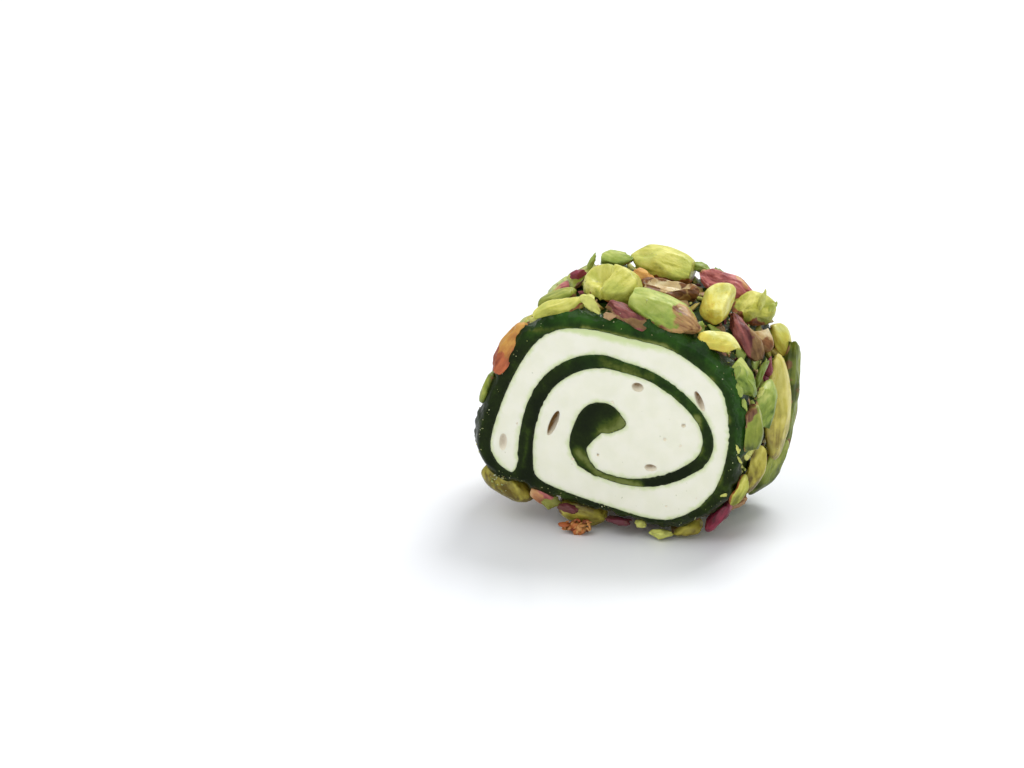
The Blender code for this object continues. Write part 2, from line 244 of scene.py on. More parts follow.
def mix_colour(tree: bpy.types.NodeTree, factor: object, first: object, second: object) -> Socket:
    """Mixes two colours.

    Args:
        tree: the node tree.
        factor: the second one's share, a socket or a number.
        first: a socket or a linear colour.
        second: a socket or a linear colour.

    Returns:
        The mixed colour's socket.
    """
    return add_node(tree, "Mix", {"data_type": "RGBA"}, {0: factor, 6: first, 7: second}).outputs[2]


def attribute(tree: bpy.types.NodeTree, name: str, output: str = "Fac") -> Socket:
    """Reads an attribute of the piece's mesh."""
    return add_node(tree, "Attribute", {"attribute_name": name}).outputs[output]


def object_place(tree: bpy.types.NodeTree) -> Socket:
    """Reads the place in the piece's own coordinates, in metres."""
    return add_node(tree, "TexCoord").outputs["Object"]


def bump(tree: bpy.types.NodeTree, height: Socket, depth_mm: float, strength: float = 1.0) -> Socket:
    """Turns a relief into a normal.

    Args:
        tree: the node tree.
        height: the relief, from 0 to 1.
        depth_mm: the real depth of its full height in millimetres.
        strength: how strongly it shows.

    Returns:
        The normal's socket.
    """
    inputs = {"Height": height, "Distance": depth_mm * MM, "Strength": strength}
    return add_node(tree, "Bump", inputs=inputs).outputs["Normal"]


def bare_material(name: str) -> tuple[bpy.types.Material, bpy.types.NodeTree, bpy.types.Node]:
    """Makes a material with nothing but its shader.

    Args:
        name: the material's name.

    Returns:
        The material, its node tree and its Principled BSDF.
    """
    material = bpy.data.materials.new(name)
    material.use_nodes = True
    tree = material.node_tree
    return material, tree, tree.nodes["Principled BSDF"]


# ---------------------------------------------------------------- finishes


@dataclass(frozen=True)
class JellyFinish:
    """Starch jelly, cooked with green colouring and cut with a knife.

    It looks nearly black-green where it is thick, olive where the knife left it thin over the nougat,
    and wet: a low roughness and a thin syrup coat give it small sharp highlights.
    """

    deepest: str = "#121B07"
    deep: str = "#1D290A"
    middle: str = "#2D3E10"
    thin: str = "#4A561D"
    thinnest: str = "#727C42"
    skin: str = "#18330D"
    skin_light: str = "#2E5618"
    cloud_mm: float = 2.2  # size of the cloudy patches inside the jelly
    lump_mm: float = 0.55  # size of the small lumps that break up its highlights
    bead_mm: float = 0.26  # size of the beads of syrup near its outer edge
    bead_share: float = 0.8  # the beads' height as a share of the lumps'

    def make(self, name: str, gloss: float) -> bpy.types.Material:
        """Makes the material; it reads the mesh's attributes "thin" and "skin", and "skin" also carries
        painted light on the upper right.

        Args:
            name: the material's name.
            gloss: 0 where a knife dulled it, 1 where it is whole and wet.

        Returns:
            The material.
        """
        material, tree, shader = bare_material(name)
        place = object_place(tree)
        clouds = noise_value(tree, place, self.cloud_mm)
        lumps = noise_value(tree, place, self.lump_mm, 4.0)
        beads = noise_value(tree, place, self.bead_mm, 2.0)
        skin = attribute(tree, "skin")
        body = math_value(tree, "MULTIPLY_ADD", clouds, 0.9, attribute(tree, "thin"))
        body = math_value(tree, "MULTIPLY_ADD", lumps, 0.35, body)
        tone = smooth_step(tree, body, 0.05, 1.75)
        depths = ((0.0, self.deepest), (0.3, self.deep), (0.5, self.middle))
        inside = colour_ramp(tree, tone, (*depths, (0.72, self.thin), (1.0, self.thinnest)))
        outside = colour_ramp(tree, clouds, ((0.35, self.skin), (0.7, self.skin_light)))
        # share of the skin's colour, which brings the painted light of "skin" with it
        thick = product(tree, skin, smooth_step(tree, tone, 0.85, 0.45))
        relief = math_value(tree, "MULTIPLY_ADD", product(tree, beads, skin), self.bead_share, lumps)
        fill_inputs(
            shader,
            {
                "Base Color": mix_colour(tree, thick, inside, outside),
                "Roughness": between(tree, lumps, 0.42 - 0.28 * gloss, 0.62 - 0.24 * gloss),
                "Normal": bump(tree, relief, 0.08 + 0.07 * gloss),
                "IOR": 1.42,
                "Specular IOR Level": 0.06 + 0.18 * gloss,
                "Coat Weight": 0.04 + 0.08 * gloss,
                "Coat Roughness": 0.06,
                "Subsurface Weight": 0.1,
                "Subsurface Radius": (0.8, 1.1, 0.3),
                "Subsurface Scale": MM,
            },
        )
        return material


@dataclass(frozen=True)
class NougatFinish:
    """Whipped egg-white nougat, cut with a knife.

    Matt and dense, off-white with the faintest mottling, and stained pale green where it meets the jelly.
    """

    light: str = "#EFEEDD"
    shade: str = "#EAEAD6"
    stain: str = "#C6D88E"
    speck: str = "#B9BE9C"
    mottle_mm: float = 3.0
    pore_mm: float = 0.22  # coarser than the real foam, so that it shows
    speck_mm: float = 0.5
    smear_mm: float = 1.1  # size of the lobes of the green stain

    def make(self) -> bpy.types.Material:
        """Makes the material; it reads the mesh's attribute "edge", the distance to the jelly in mm."""
        material, tree, shader = bare_material("whipped_nougat_white")
        place = object_place(tree)
        mottle = noise_value(tree, place, self.mottle_mm)
        body = colour_ramp(tree, mottle, ((0.35, self.shade), (0.6, self.light)))
        specks = smooth_step(tree, noise_value(tree, place, self.speck_mm, 1.0), 0.76, 0.80)
        body = mix_colour(tree, product(tree, specks, 0.6), body, linear(self.speck))
        smear = product(tree, noise_value(tree, place, self.smear_mm), 1.1)
        near = smooth_step(tree, math_value(tree, "SUBTRACT", smear, attribute(tree, "edge")), -0.25, 0.75)
        fill_inputs(
            shader,
            {
                "Base Color": mix_colour(tree, product(tree, near, 0.75), body, linear(self.stain)),
                "Normal": bump(tree, noise_value(tree, place, self.pore_mm, 2.0), 0.03, 0.6),
                "Roughness": 0.62,
                "IOR": 1.4,
                "Specular IOR Level": 0.35,
                "Subsurface Weight": 0.25,
                "Subsurface Radius": (1.6, 1.5, 1.1),
                "Subsurface Scale": MM,
            },
        )
        return material


@dataclass(frozen=True)
class BubbleFinish:
    """The inside of an air bubble in nougat: dry beige foam that the light hardly reaches, with painted
    shade that browns it deeper in and on the walls that face down and to the right.
    """

    rim: str = "#ECE5D0"
    # painted shade: the dark brown that the bubble's deep walls take
    floor: str = "#6E5029"
    depth: float = 0.75 * MM  # the depth below the cut at which the painted shade on the wall is darkest
    shaded: Triple = (0.5, 0.0, -0.86)  # the way that the wall with the most painted shade faces
    grain_mm: float = 0.4

    def make(self, front: float) -> bpy.types.Material:
        """Makes the material.

        Args:
            front: where the front cut lies along Y; painted shade makes the bubbles browner behind it.

        Returns:
            The material.
        """
        material, tree, shader = bare_material("nougat_bubble_wall")
        place = object_place(tree)
        along = add_node(tree, "SeparateXYZ", inputs={0: place}).outputs["Y"]
        grain = noise_value(tree, place, self.grain_mm)
        facing = add_node(tree, "NewGeometry").outputs["Normal"]
        under = add_node(tree, "VectorMath", {"operation": "DOT_PRODUCT"}, {0: facing, 1: self.shaded})
        hidden = math_value(tree, "MULTIPLY_ADD", under.outputs["Value"], 0.75, 0.6)
        # painted shade: darker deeper behind the cut and on walls that face the way shaded, broken up by the
        # grain
        depth = product(tree, smooth_step(tree, along, front, front + self.depth), hidden)
        painted_shade = product(tree, depth, math_value(tree, "ADD", grain, 0.6))
        fill_inputs(
            shader,
            {
                "Base Color": colour_ramp(tree, painted_shade, ((0.0, self.rim), (1.0, self.floor))),
                "Normal": bump(tree, grain, 0.05),
                "Roughness": 0.8,
                "Specular IOR Level": 0.2,
            },
        )
        return material


@dataclass(frozen=True)
class PistachioFinish:
    """Shelled pistachio: smooth seed leaves with fine lengthwise streaks and rests of the papery skin.

    The flesh is satin, with painted shade that keeps its crown lighter and darkens it towards the
    jelly; the skin is thin, wrinkled and a little more matt.
    """

    name: str
    slot: Slot
    light: str
    middle: str
    dark: str
    skin: str
    skin_dark: str
    tint: str = "#8A9A34"  # the greener tone that part of the flesh has
    roughness: float = 0.42
    gloss: float = 0.12
    streak_mm: float = 0.75  # spacing of the streaks across the kernel
    streak_run: float = 5.0  # how many times longer than wide a streak is
    patch_mm: float = 1.5  # size of the blotches in flesh and skin
    tint_mm: float = 3.4  # size of the greener parts
    pit_mm: float = 0.7
    speck_mm: float = 0.5
    fine_mm: float = 0.28  # size of the finest grain in its gloss

    def make(self) -> bpy.types.Material:
        """Makes the material; it reads the attributes "grain" (mm along the kernel), "skin" and "shade"."""
        material, tree, shader = bare_material("pistachio_" + self.name)
        grain = attribute(tree, "grain", "Vector")
        run = {"Vector": grain, "Scale": (1.0 / self.streak_run, 1.0, 1.0)}
        drawn = add_node(tree, "Mapping", inputs=run).outputs["Vector"]
        streaks = noise_value(tree, drawn, self.streak_mm, 4.0, 1.0)
        patches = noise_value(tree, grain, self.patch_mm, 4.0, 1.0)
        fine = noise_value(tree, grain, self.fine_mm, 3.0, 1.0)
        pits = noise_value(tree, grain, self.pit_mm, 4.0, 1.0)
        tone = math_value(tree, "MULTIPLY_ADD", streaks, 0.55, product(tree, patches, 0.45))
        # painted shade: the flesh darkens where the attribute "shade" is high
        tone = math_value(tree, "MULTIPLY_ADD", attribute(tree, "shade"), -0.38, tone)
        flesh = colour_ramp(tree, tone, ((0.16, self.dark), (0.38, self.middle), (0.58, self.light)))
        greener = smooth_step(tree, noise_value(tree, grain, self.tint_mm, 2.0, 1.0), 0.42, 0.66)
        flesh = mix_colour(tree, product(tree, greener, 0.42), flesh, linear(self.tint))
        specks = smooth_step(tree, noise_value(tree, grain, self.speck_mm, 2.0, 1.0), 0.68, 0.74)
        flesh = mix_colour(tree, product(tree, specks, 0.3), flesh, linear(self.skin_dark))
        frayed = math_value(tree, "SUBTRACT", patches, 0.5)
        torn = math_value(tree, "MULTIPLY_ADD", frayed, 0.9, attribute(tree, "skin"))
        paper = colour_ramp(tree, streaks, ((0.3, self.skin_dark), (0.62, self.skin)))
        relief = math_value(tree, "ADD", math_value(tree, "MULTIPLY_ADD", streaks, 0.9, fine), pits)
        fill_inputs(
            shader,
            {
                "Base Color": mix_colour(tree, smooth_step(tree, torn, 0.44, 0.56), flesh, paper),
                "Roughness": between(tree, fine, self.roughness - 0.1, self.roughness + 0.16),
                "Normal": bump(tree, relief, 0.06),
                "IOR": 1.45,
                "Specular IOR Level": 0.32,
                "Coat Weight": self.gloss,
                "Coat Roughness": 0.2,
                "Subsurface Weight": 0.12,
                "Subsurface Radius": (1.0, 0.9, 0.35),
                "Subsurface Scale": 0.8 * MM,
            },
        )
        return material


class Nut(Enum):
    """The finishes that the kernels have, from bright cut flesh to whole skins."""

    LEMON = PistachioFinish(
        "lemon_flesh", Slot.YELLOW, "#E2DE7C", "#BEBD50", "#72761E", "#96582A", "#4A2412", "#A4B452"
    )
    BUTTER = PistachioFinish(
        "butter_flesh", Slot.YELLOW, "#F0EE9C", "#E0D45E", "#CCB042", "#A87C38", "#6A4418"
    )
    LEAF = PistachioFinish(
        "leaf_flesh", Slot.GREEN, "#C4CC70", "#93A846", "#4E681E", "#C09A62", "#6C3E26"
    )
    MOSS = PistachioFinish(
        "moss_flesh", Slot.GREEN, "#B0B454", "#828E32", "#434F14", "#8E6A44", "#542C1E"
    )
    OLIVE = PistachioFinish(
        "olive_flesh", Slot.OLIVE, "#DCD46C", "#B8AE44", "#64540F", "#7E5624", "#3E240E", "#8C8430", 0.38,
        0.15,
    )
    STRAW = PistachioFinish(
        "straw_flesh", Slot.YELLOW, "#DED47C", "#C8BC56", "#80702A", "#967040", "#5C3A1E", "#A8A448"
    )
    BARK = PistachioFinish(
        "bark_skin", Slot.TAN, "#EADFB8", "#BC9C64", "#6E4C28", "#8C5C32", "#40220F", "#A8823E", 0.5, 0.1
    )
    AMBER = PistachioFinish(
        "amber_skin", Slot.TAN, "#DAAA52", "#C08640", "#8C5028", "#C06A40", "#864028", "#BC7A3E", 0.45, 0.1
    )
    ROSE = PistachioFinish(
        "rose_skin", Slot.PURPLE, "#E4C690", "#C08C60", "#84482E", "#CE7E78", "#7A2428", "#B87A50", 0.46, 0.1
    )
    PLUM = PistachioFinish(
        "plum_skin", Slot.PURPLE, "#BEA474", "#8E6E44", "#583A20", "#94544E", "#471A1E", "#8A6A40", 0.5, 0.05
    )
    WINE = PistachioFinish(
        "wine_skin", Slot.PURPLE, "#947238", "#684A20", "#3E2A12", "#962C46", "#42101A", "#6A4A20", 0.38, 0.2
    )


@dataclass(frozen=True)
class ChipFinish:
    """Chopped pistachio: small broken bits of flesh and skin in every tone, dry and satin."""

    name: str
    tones: Stops
    roughness: float = 0.5
    shadow: str = "#4E4A1C"  # the tone that its patches darken to
    grain_mm: float = 0.5
    patch_mm: float = 1.2

    def make(self) -> bpy.types.Material:
        """Makes the material; it reads the mesh's attribute "tone", one value for each bit."""
        material, tree, shader = bare_material(self.name)
        place = object_place(tree)
        fine = noise_value(tree, place, self.grain_mm)
        grainy = math_value(tree, "SUBTRACT", fine, 0.5)
        tone = math_value(tree, "MULTIPLY_ADD", grainy, 0.12, attribute(tree, "tone"))
        colour = colour_ramp(tree, tone, self.tones)
        patches = smooth_step(tree, noise_value(tree, place, self.patch_mm), 0.45, 0.75)
        fill_inputs(
            shader,
            {
                "Base Color": mix_colour(tree, product(tree, patches, 0.35), colour, linear(self.shadow)),
                "Normal": bump(tree, fine, 0.06),
                "Roughness": self.roughness,
                "IOR": 1.45,
                "Coat Weight": 0.1,
                "Coat Roughness": 0.25,
            },
        )
        return material


CHOPPED_FLESH = ChipFinish(
    "pistachio_chopped_flesh",
    (
        (0.0, "#D9D878"), (0.2, "#C3C860"), (0.4, "#9DB04E"),
        (0.6, "#7C8E3A"), (0.8, "#8E8434"), (1.0, "#B49A4A"),
    ),
)
PAPERY_SKIN = ChipFinish(
    "pistachio_papery_skin",
    ((0.0, "#8E3446"), (0.25, "#5A1E2A"), (0.5, "#7A4A34"), (0.75, "#A67E54"), (1.0, "#C2A67A")),
    0.55,
)
NUT_CRUMB = ChipFinish(
    "pistachio_crumb",
    ((0.0, "#DAD67C"), (0.3, "#A8B456"), (0.55, "#8A7C3A"), (0.75, "#B58A5A"), (1.0, "#6A2E34")),
    0.55,
)
# pale dust and crumbs; as specks on the jelly's edge and on the nuts they also stand in for painted glints
SPECK = ChipFinish(
    "pale_nut_dust_and_glints",
    ((0.0, "#C8CCA8"), (0.35, "#94A052"), (0.6, "#A8A276"), (0.8, "#5E6E2C"), (1.0, "#8A7850")),
    0.6,
)
TOASTED = ChipFinish(
    "toasted_skin_crumb", ((0.0, "#7A3216"), (0.35, "#B4602A"), (0.6, "#D09A58"), (1.0, "#9A4624")), 0.55
)


@dataclass(frozen=True)
class FloorFinish:
    """A white glazed table: plain, pale and faintly glossy."""

    colour: str = "#F8FAFE"
    cloud: str = "#F5F8FC"
    cloud_mm: float = 60.0  # size of its faint clouds

    def make(self) -> bpy.types.Material:
        """Makes the material."""
        material, tree, shader = bare_material("white_glazed_table")
        clouds = noise_value(tree, object_place(tree), self.cloud_mm)
        colour = colour_ramp(tree, clouds, ((0.3, self.cloud), (0.7, self.colour)))
        fill_inputs(shader, {"Base Color": colour, "Roughness": 0.32, "Specular IOR Level": 0.35})
        return material


# ---------------------------------------------------------------- mesh helpers


def packed(node: str) -> bmesh.types.BMesh:
    """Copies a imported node's mesh, with its loose triangles merged.

    Args:
        node: the node's name.

    Returns:
        A closed bmesh, which the caller frees.
    """
    form = bmesh.new()
    form.from_mesh(bpy.data.objects[node].data)
    bmesh.ops.remove_doubles(form, verts=form.verts, dist=WELD)
    return form


def new_object(name: str, form: bmesh.types.BMesh) -> Shape:
    """Turns a bmesh into an object of the scene.

    Args:
        name: the object's name.
        form: the bmesh, which is freed.

    Returns:
        The object.
    """
    mesh = bpy.data.meshes.new(name)
    form.to_mesh(mesh)
    form.free()
    item = bpy.data.objects.new(name, mesh)
    bpy.context.scene.collection.objects.link(item)
    return item


def soften(form: bmesh.types.BMesh) -> None:
    """Moves each point of a bmesh half way to the middle of its neighbours."""
    bmesh.ops.smooth_vert(
        form, verts=form.verts, factor=0.5, use_axis_x=True, use_axis_y=True, use_axis_z=True
    )


def refine(form: bmesh.types.BMesh) -> None:
    """Splits each edge and face of a bmesh, and rounds the result."""
    bmesh.ops.subdivide_edges(form, edges=form.edges, cuts=1, use_grid_fill=True)
    soften(form)


def surface_tree(items: Iterable[Shape]) -> BVHTree:
    """Joins the surfaces of objects into one search tree."""
    form = bmesh.new()
    for item in items:
        form.from_mesh(item.data)
    tree = BVHTree.FromBMesh(form)
    form.free()
    return tree


def apply_modifiers(item: Shape) -> None:
    """Makes an object's modifiers part of its mesh."""
    graph = bpy.context.evaluated_depsgraph_get()
    mesh = bpy.data.meshes.new_from_object(item.evaluated_get(graph), depsgraph=graph)
    item.modifiers.clear()
    item.data = mesh


def carve(item: Shape, tool: Shape, operation: str) -> None:
    """Combines an object with a tool by a Boolean, and removes the tool.

    Args:
        item: the object that is changed.
        tool: a closed object.
        operation: INTERSECT, DIFFERENCE or UNION.
    """
    cut = item.modifiers.new(tool.name, "BOOLEAN")
    cut.operation = operation
    cut.solver = "MANIFOLD"
    cut.object = tool
    apply_modifiers(item)
    bpy.data.objects.remove(tool, do_unlink=True)


def remesh(item: Shape, voxel: float, rounds: int) -> None:
    """Rebuilds an object's mesh from even squares, and rounds its edges.

    Args:
        item: the object that is changed.
        voxel: the squares' size in metres.
        rounds: how often each point moves to the middle of its neighbours.
    """
    change = item.modifiers.new("even_squares", "REMESH")
    change.mode = "VOXEL"
    change.voxel_size = voxel
    change.use_smooth_shade = True
    soft = item.modifiers.new("soft_edges", "SMOOTH")
    soft.factor = 0.5
    soft.iterations = rounds
    apply_modifiers(item)


def points_of(mesh: bpy.types.Mesh) -> np.ndarray:
    """Reads a mesh's points as rows of x, y, z in metres."""
    flat = np.empty(len(mesh.vertices) * 3)
    mesh.vertices.foreach_get("co", flat)
    return flat.reshape(-1, 3)


def normals_of(mesh: bpy.types.Mesh) -> np.ndarray:
    """Reads the normals of a mesh's points."""
    flat = np.empty(len(mesh.vertices) * 3)
    mesh.vertex_normals.foreach_get("vector", flat)
    return flat.reshape(-1, 3)


def move_points(mesh: bpy.types.Mesh, points: np.ndarray) -> None:
    """Writes a mesh's points back."""
    mesh.vertices.foreach_set("co", points.ravel())
    mesh.update()


def set_attribute(mesh: bpy.types.Mesh, name: str, values: np.ndarray) -> None:
    """Stores an attribute that a finish reads.

    Args:
        mesh: the mesh that takes it.
        name: the attribute's name.
        values: one number, or one row of three, for each point of the mesh.
    """
    kind, key = ("FLOAT", "value") if values.ndim == 1 else ("FLOAT_VECTOR", "vector")
    layer = mesh.attributes.new(name, kind, "POINT")
    layer.data.foreach_set(key, values.astype(np.float32).ravel())


def noise_at(points: np.ndarray, size: float, seed: float = 0.0) -> np.ndarray:
    """Reads a smooth noise at many points.

    Args:
        points: rows of x, y, z.
        size: the size of the noise's lumps, in the points' own unit.
        seed: shifts the noise, so that two reads differ.

    Returns:
        One value for each point, mostly between -0.6 and 0.6.
    """
    return np.array([noise.noise(place) for place in (points / size + seed).tolist()])


def soft_step(values: np.ndarray, low: float, high: float) -> np.ndarray:
    """Compares values with a soft threshold.

    Args:
        values: what is compared.
        low: where the result is 0.
        high: where it is 1.

    Returns:
        One value from 0 to 1 for each, which rises smoothly between low and high.
    """
    share = np.clip((values - low) / (high - low), 0.0, 1.0)
    return share * share * (3.0 - 2.0 * share)


def dress(
    item: Shape, materials: Iterable[bpy.types.Material], nodes: Iterable[str] = ()
) -> Shape:
    """Gives a finished piece its materials and its place in the model.

    Args:
        item: the piece.
        materials: its materials, in order.
        nodes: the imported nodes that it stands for.

    Returns:
        The piece.
    """
    item.data.materials.clear()
    for material in materials:
        item.data.materials.append(material)
    item.data.shade_smooth()
    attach(item, BODY)
    if nodes:
        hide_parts(*nodes)
    return item


def pieces_of(parts: Iterable[object], kind: type) -> list[object]:
    """Picks the points, or the edges, from the mixed parts that a bmesh operator gives back."""
    return [part for part in parts if isinstance(part, kind)]


def chop(form: bmesh.types.BMesh, point: Vector, direction: Vector) -> None:
    """Cuts a closed bmesh with a plane, drops what lies beyond it and caps the cut.

    Args:
        form: the bmesh.
        point: a point of the plane.
        direction: the way from the plane to what is dropped.
    """
    parts = list(form.verts) + list(form.edges) + list(form.faces)
    cut = bmesh.ops.bisect_plane(form, geom=parts, plane_co=point, plane_no=direction, clear_outer=True)
    rim = pieces_of(cut["geom_cut"], bmesh.types.BMEdge)
    if rim:
        bmesh.ops.holes_fill(form, edges=rim, sides=0)


# ---------------------------------------------------------------- the roll


@dataclass
class Roll:
    """The outlines that the cut faces share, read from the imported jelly, and the shape of the cuts."""

    refinements: int = 3  # how often an outline's steps are halved
    step: float = 0.24 * MM  # spacing of the points on a cut face
    margin: float = 2.0 * MM  # how far a slab runs past the outlines
    wave: float = 0.22 * MM  # depth of the cuts' slow waves
    wave_length: float = 11.0 * MM
    drag: float = 0.035 * MM  # depth of the knife's drag marks
    drag_length: float = 1.6 * MM
    front: float = field(init=False)
    back: float = field(init=False)
    shoulder: float = field(init=False)
    room: list[Vector] = field(init=False)
    skin: list[Vector] = field(init=False)

    def __post_init__(self) -> None:
        """Reads where the cuts lie, and both outlines."""
        form = packed("jelly")
        form.verts.index_update()
        depths = sorted({round(vert.co.y, 6) for vert in form.verts})
        self.front, self.shoulder, self.back = depths[0], depths[2], depths[-1]
        length = self.back - self.front
        walls = {
            vert
            for vert in form.verts
            if abs(vert.co.y - self.front) < WELD
            and any(edge.calc_length() > 0.9 * length for edge in vert.link_edges)
        }
        ring = {vert for vert in form.verts if abs(vert.co.y - self.shoulder) < WELD}
        self.room = self._outline(form, walls)
        self.skin = self._outline(form, ring)
        form.free()

    def _outline(self, form: bmesh.types.BMesh, corners: set[bmesh.types.BMVert]) -> list[Vector]:
        """Walks once round a ring of corners, with its steps halved smoothly.

        Args:
            form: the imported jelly.
            corners: the ring's corners.

        Returns:
            The points, in the order of the walk.
        """
        edges = [
            edge
            for edge in form.edges
            if set(edge.verts) <= corners and len({self._faces_front(face) for face in edge.link_faces}) == 2
        ] or [edge for edge in form.edges if set(edge.verts) <= corners]
        ring = bmesh.new()
        copies = {vert: ring.verts.new(vert.co) for vert in sorted(corners, key=lambda vert: vert.index)}
        for edge in edges:
            ring.edges.new([copies[vert] for vert in edge.verts])
        for _ in range(self.refinements):
            bmesh.ops.subdivide_edges(ring, edges=ring.edges, cuts=1)
            soften(ring)
        ring.verts.ensure_lookup_table()
        start = ring.verts[0]
        walk, last = [start], None
        while True:
            here = walk[-1]
            after = [edge.other_vert(here) for edge in here.link_edges if edge.other_vert(here) is not last]
            last = here
            if after[0] is start:
                break
            walk.append(after[0])
        points = [vert.co.copy() for vert in walk]
        ring.free()
        return points

    def _faces_front(self, face: bmesh.types.BMFace) -> bool:
        """Tells whether a face lies in the front cut."""
        return all(abs(vert.co.y - self.front) < WELD for vert in face.verts)

    def prism(self, name: str, outline: Sequence[Vector], depths: Sequence[float]) -> Shape:
        """Draws an outline along Y.

        Args:
            name: the object's name.
            outline: the points, whose own y is ignored.
            depths: where its rings lie along Y, from front to back.

        Returns:
            A closed object.
        """
        form = bmesh.new()
        verts = [form.verts.new((point.x, depths[0], point.z)) for point in outline]
        edges = [form.edges.new(pair) for pair in zip(verts, verts[1:] + verts[:1])]
        bmesh.ops.contextual_create(form, geom=edges)
        for depth, before in zip(depths[1:], depths):
            grown = bmesh.ops.extrude_edge_only(form, edges=edges)["geom"]
            moved = pieces_of(grown, bmesh.types.BMVert)
            edges = pieces_of(grown, bmesh.types.BMEdge)
            bmesh.ops.translate(form, verts=moved, vec=(0.0, depth - before, 0.0))
        bmesh.ops.contextual_create(form, geom=edges)
        bmesh.ops.recalc_face_normals(form, faces=form.faces)
        return new_object(name, form)

    def cut_depth(self, points: np.ndarray, side: Side) -> np.ndarray:
        """Says how far the knife's uneven face stands out.

        Args:
            points: rows of x, y, z on the face.
            side: the cut face that they belong to.

        Returns:
            One distance for each, in metres.
        """
        flat = points * (1.0, 0.0, 1.0)
        waves = noise_at(flat, self.wave_length, 3.7 * side.value) * self.wave
        drawn = flat * (1.0, 1.0, 0.25)
        return waves + noise_at(drawn, self.drag_length, 9.1 * side.value) * self.drag

    def slab(self, name: str, lift: float) -> Shape:
        """Makes a slab whose two broad faces are the knife's cuts.

        Args:
            name: the object's name.
            lift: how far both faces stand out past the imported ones.

        Returns:
            A closed object a little wider and higher than the slice.
        """
        low = Vector((min(p.x for p in self.skin), 0.0, min(p.z for p in self.skin)))
        high = Vector((max(p.x for p in self.skin), 0.0, max(p.z for p in self.skin)))
        size = high - low + Vector((2.0 * self.margin, 0.0, 2.0 * self.margin))
        centre = (low + high) / 2.0
        centre.y = self.front
        spread = Matrix.Diagonal((size.x, size.z, 1.0, 1.0))
        place = Matrix.Translation(centre) @ Matrix.Rotation(math.pi / 2.0, 4, "X") @ spread
        form = bmesh.new()
        bmesh.ops.create_grid(
            form,
            x_segments=round(size.x / self.step),
            y_segments=round(size.z / self.step),
            size=0.5,
            matrix=place,
        )
        grown = bmesh.ops.extrude_face_region(form, geom=form.faces[:])["geom"]
        bmesh.ops.translate(
            form, verts=pieces_of(grown, bmesh.types.BMVert), vec=(0.0, self.back - self.front, 0.0)
        )
        bmesh.ops.recalc_face_normals(form, faces=form.faces)
        item = new_object(name, form)
        points = points_of(item.data)
        middle = (self.front + self.back) / 2.0
        for side in Side:
            chosen = (points[:, 1] - middle) * side.value > 0.0
            points[chosen, 1] += side.value * (lift + self.cut_depth(points[chosen], side))
        move_points(item.data, points)
        return item

    def distances(self, points: np.ndarray, outline: Sequence[Vector]) -> np.ndarray:
        """Measures how far points lie from an outline, seen along Y.

        Args:
            points: rows of x, y, z.
            outline: the outline's points.

        Returns:
            One distance for each point, in metres.
        """
        tree = KDTree(len(outline))
        for number, point in enumerate(outline):
            tree.insert((point.x, 0.0, point.z), number)
        tree.balance()
        flat = points * (1.0, 0.0, 1.0)
        return np.array([tree.find(place)[2] for place in flat.tolist()])


@dataclass
class Spot:
    """A rounded place on a cut face, as a stroke from start to end in mm from the face's middle."""

    start: tuple[float, float]
    end: tuple[float, float]
    width: float
    strength: float = 1.0

    def cover(self, x: np.ndarray, z: np.ndarray) -> np.ndarray:
        """Says how strongly the spot covers points of the face.

        Args:
            x: how far right of the face's middle each one lies, in mm.
            z: how far above it.

        Returns:
            Its full strength on the stroke, and 0 further from it than its width.
        """
        run_x, run_z = self.end[0] - self.start[0], self.end[1] - self.start[1]
        length = max(run_x * run_x + run_z * run_z, 1e-9)
        share = np.clip(((x - self.start[0]) * run_x + (z - self.start[1]) * run_z) / length, 0.0, 1.0)
        away = np.hypot(x - self.start[0] - share * run_x, z - self.start[1] - share * run_z)
        return self.strength * (1.0 - soft_step(away, 0.0, self.width))


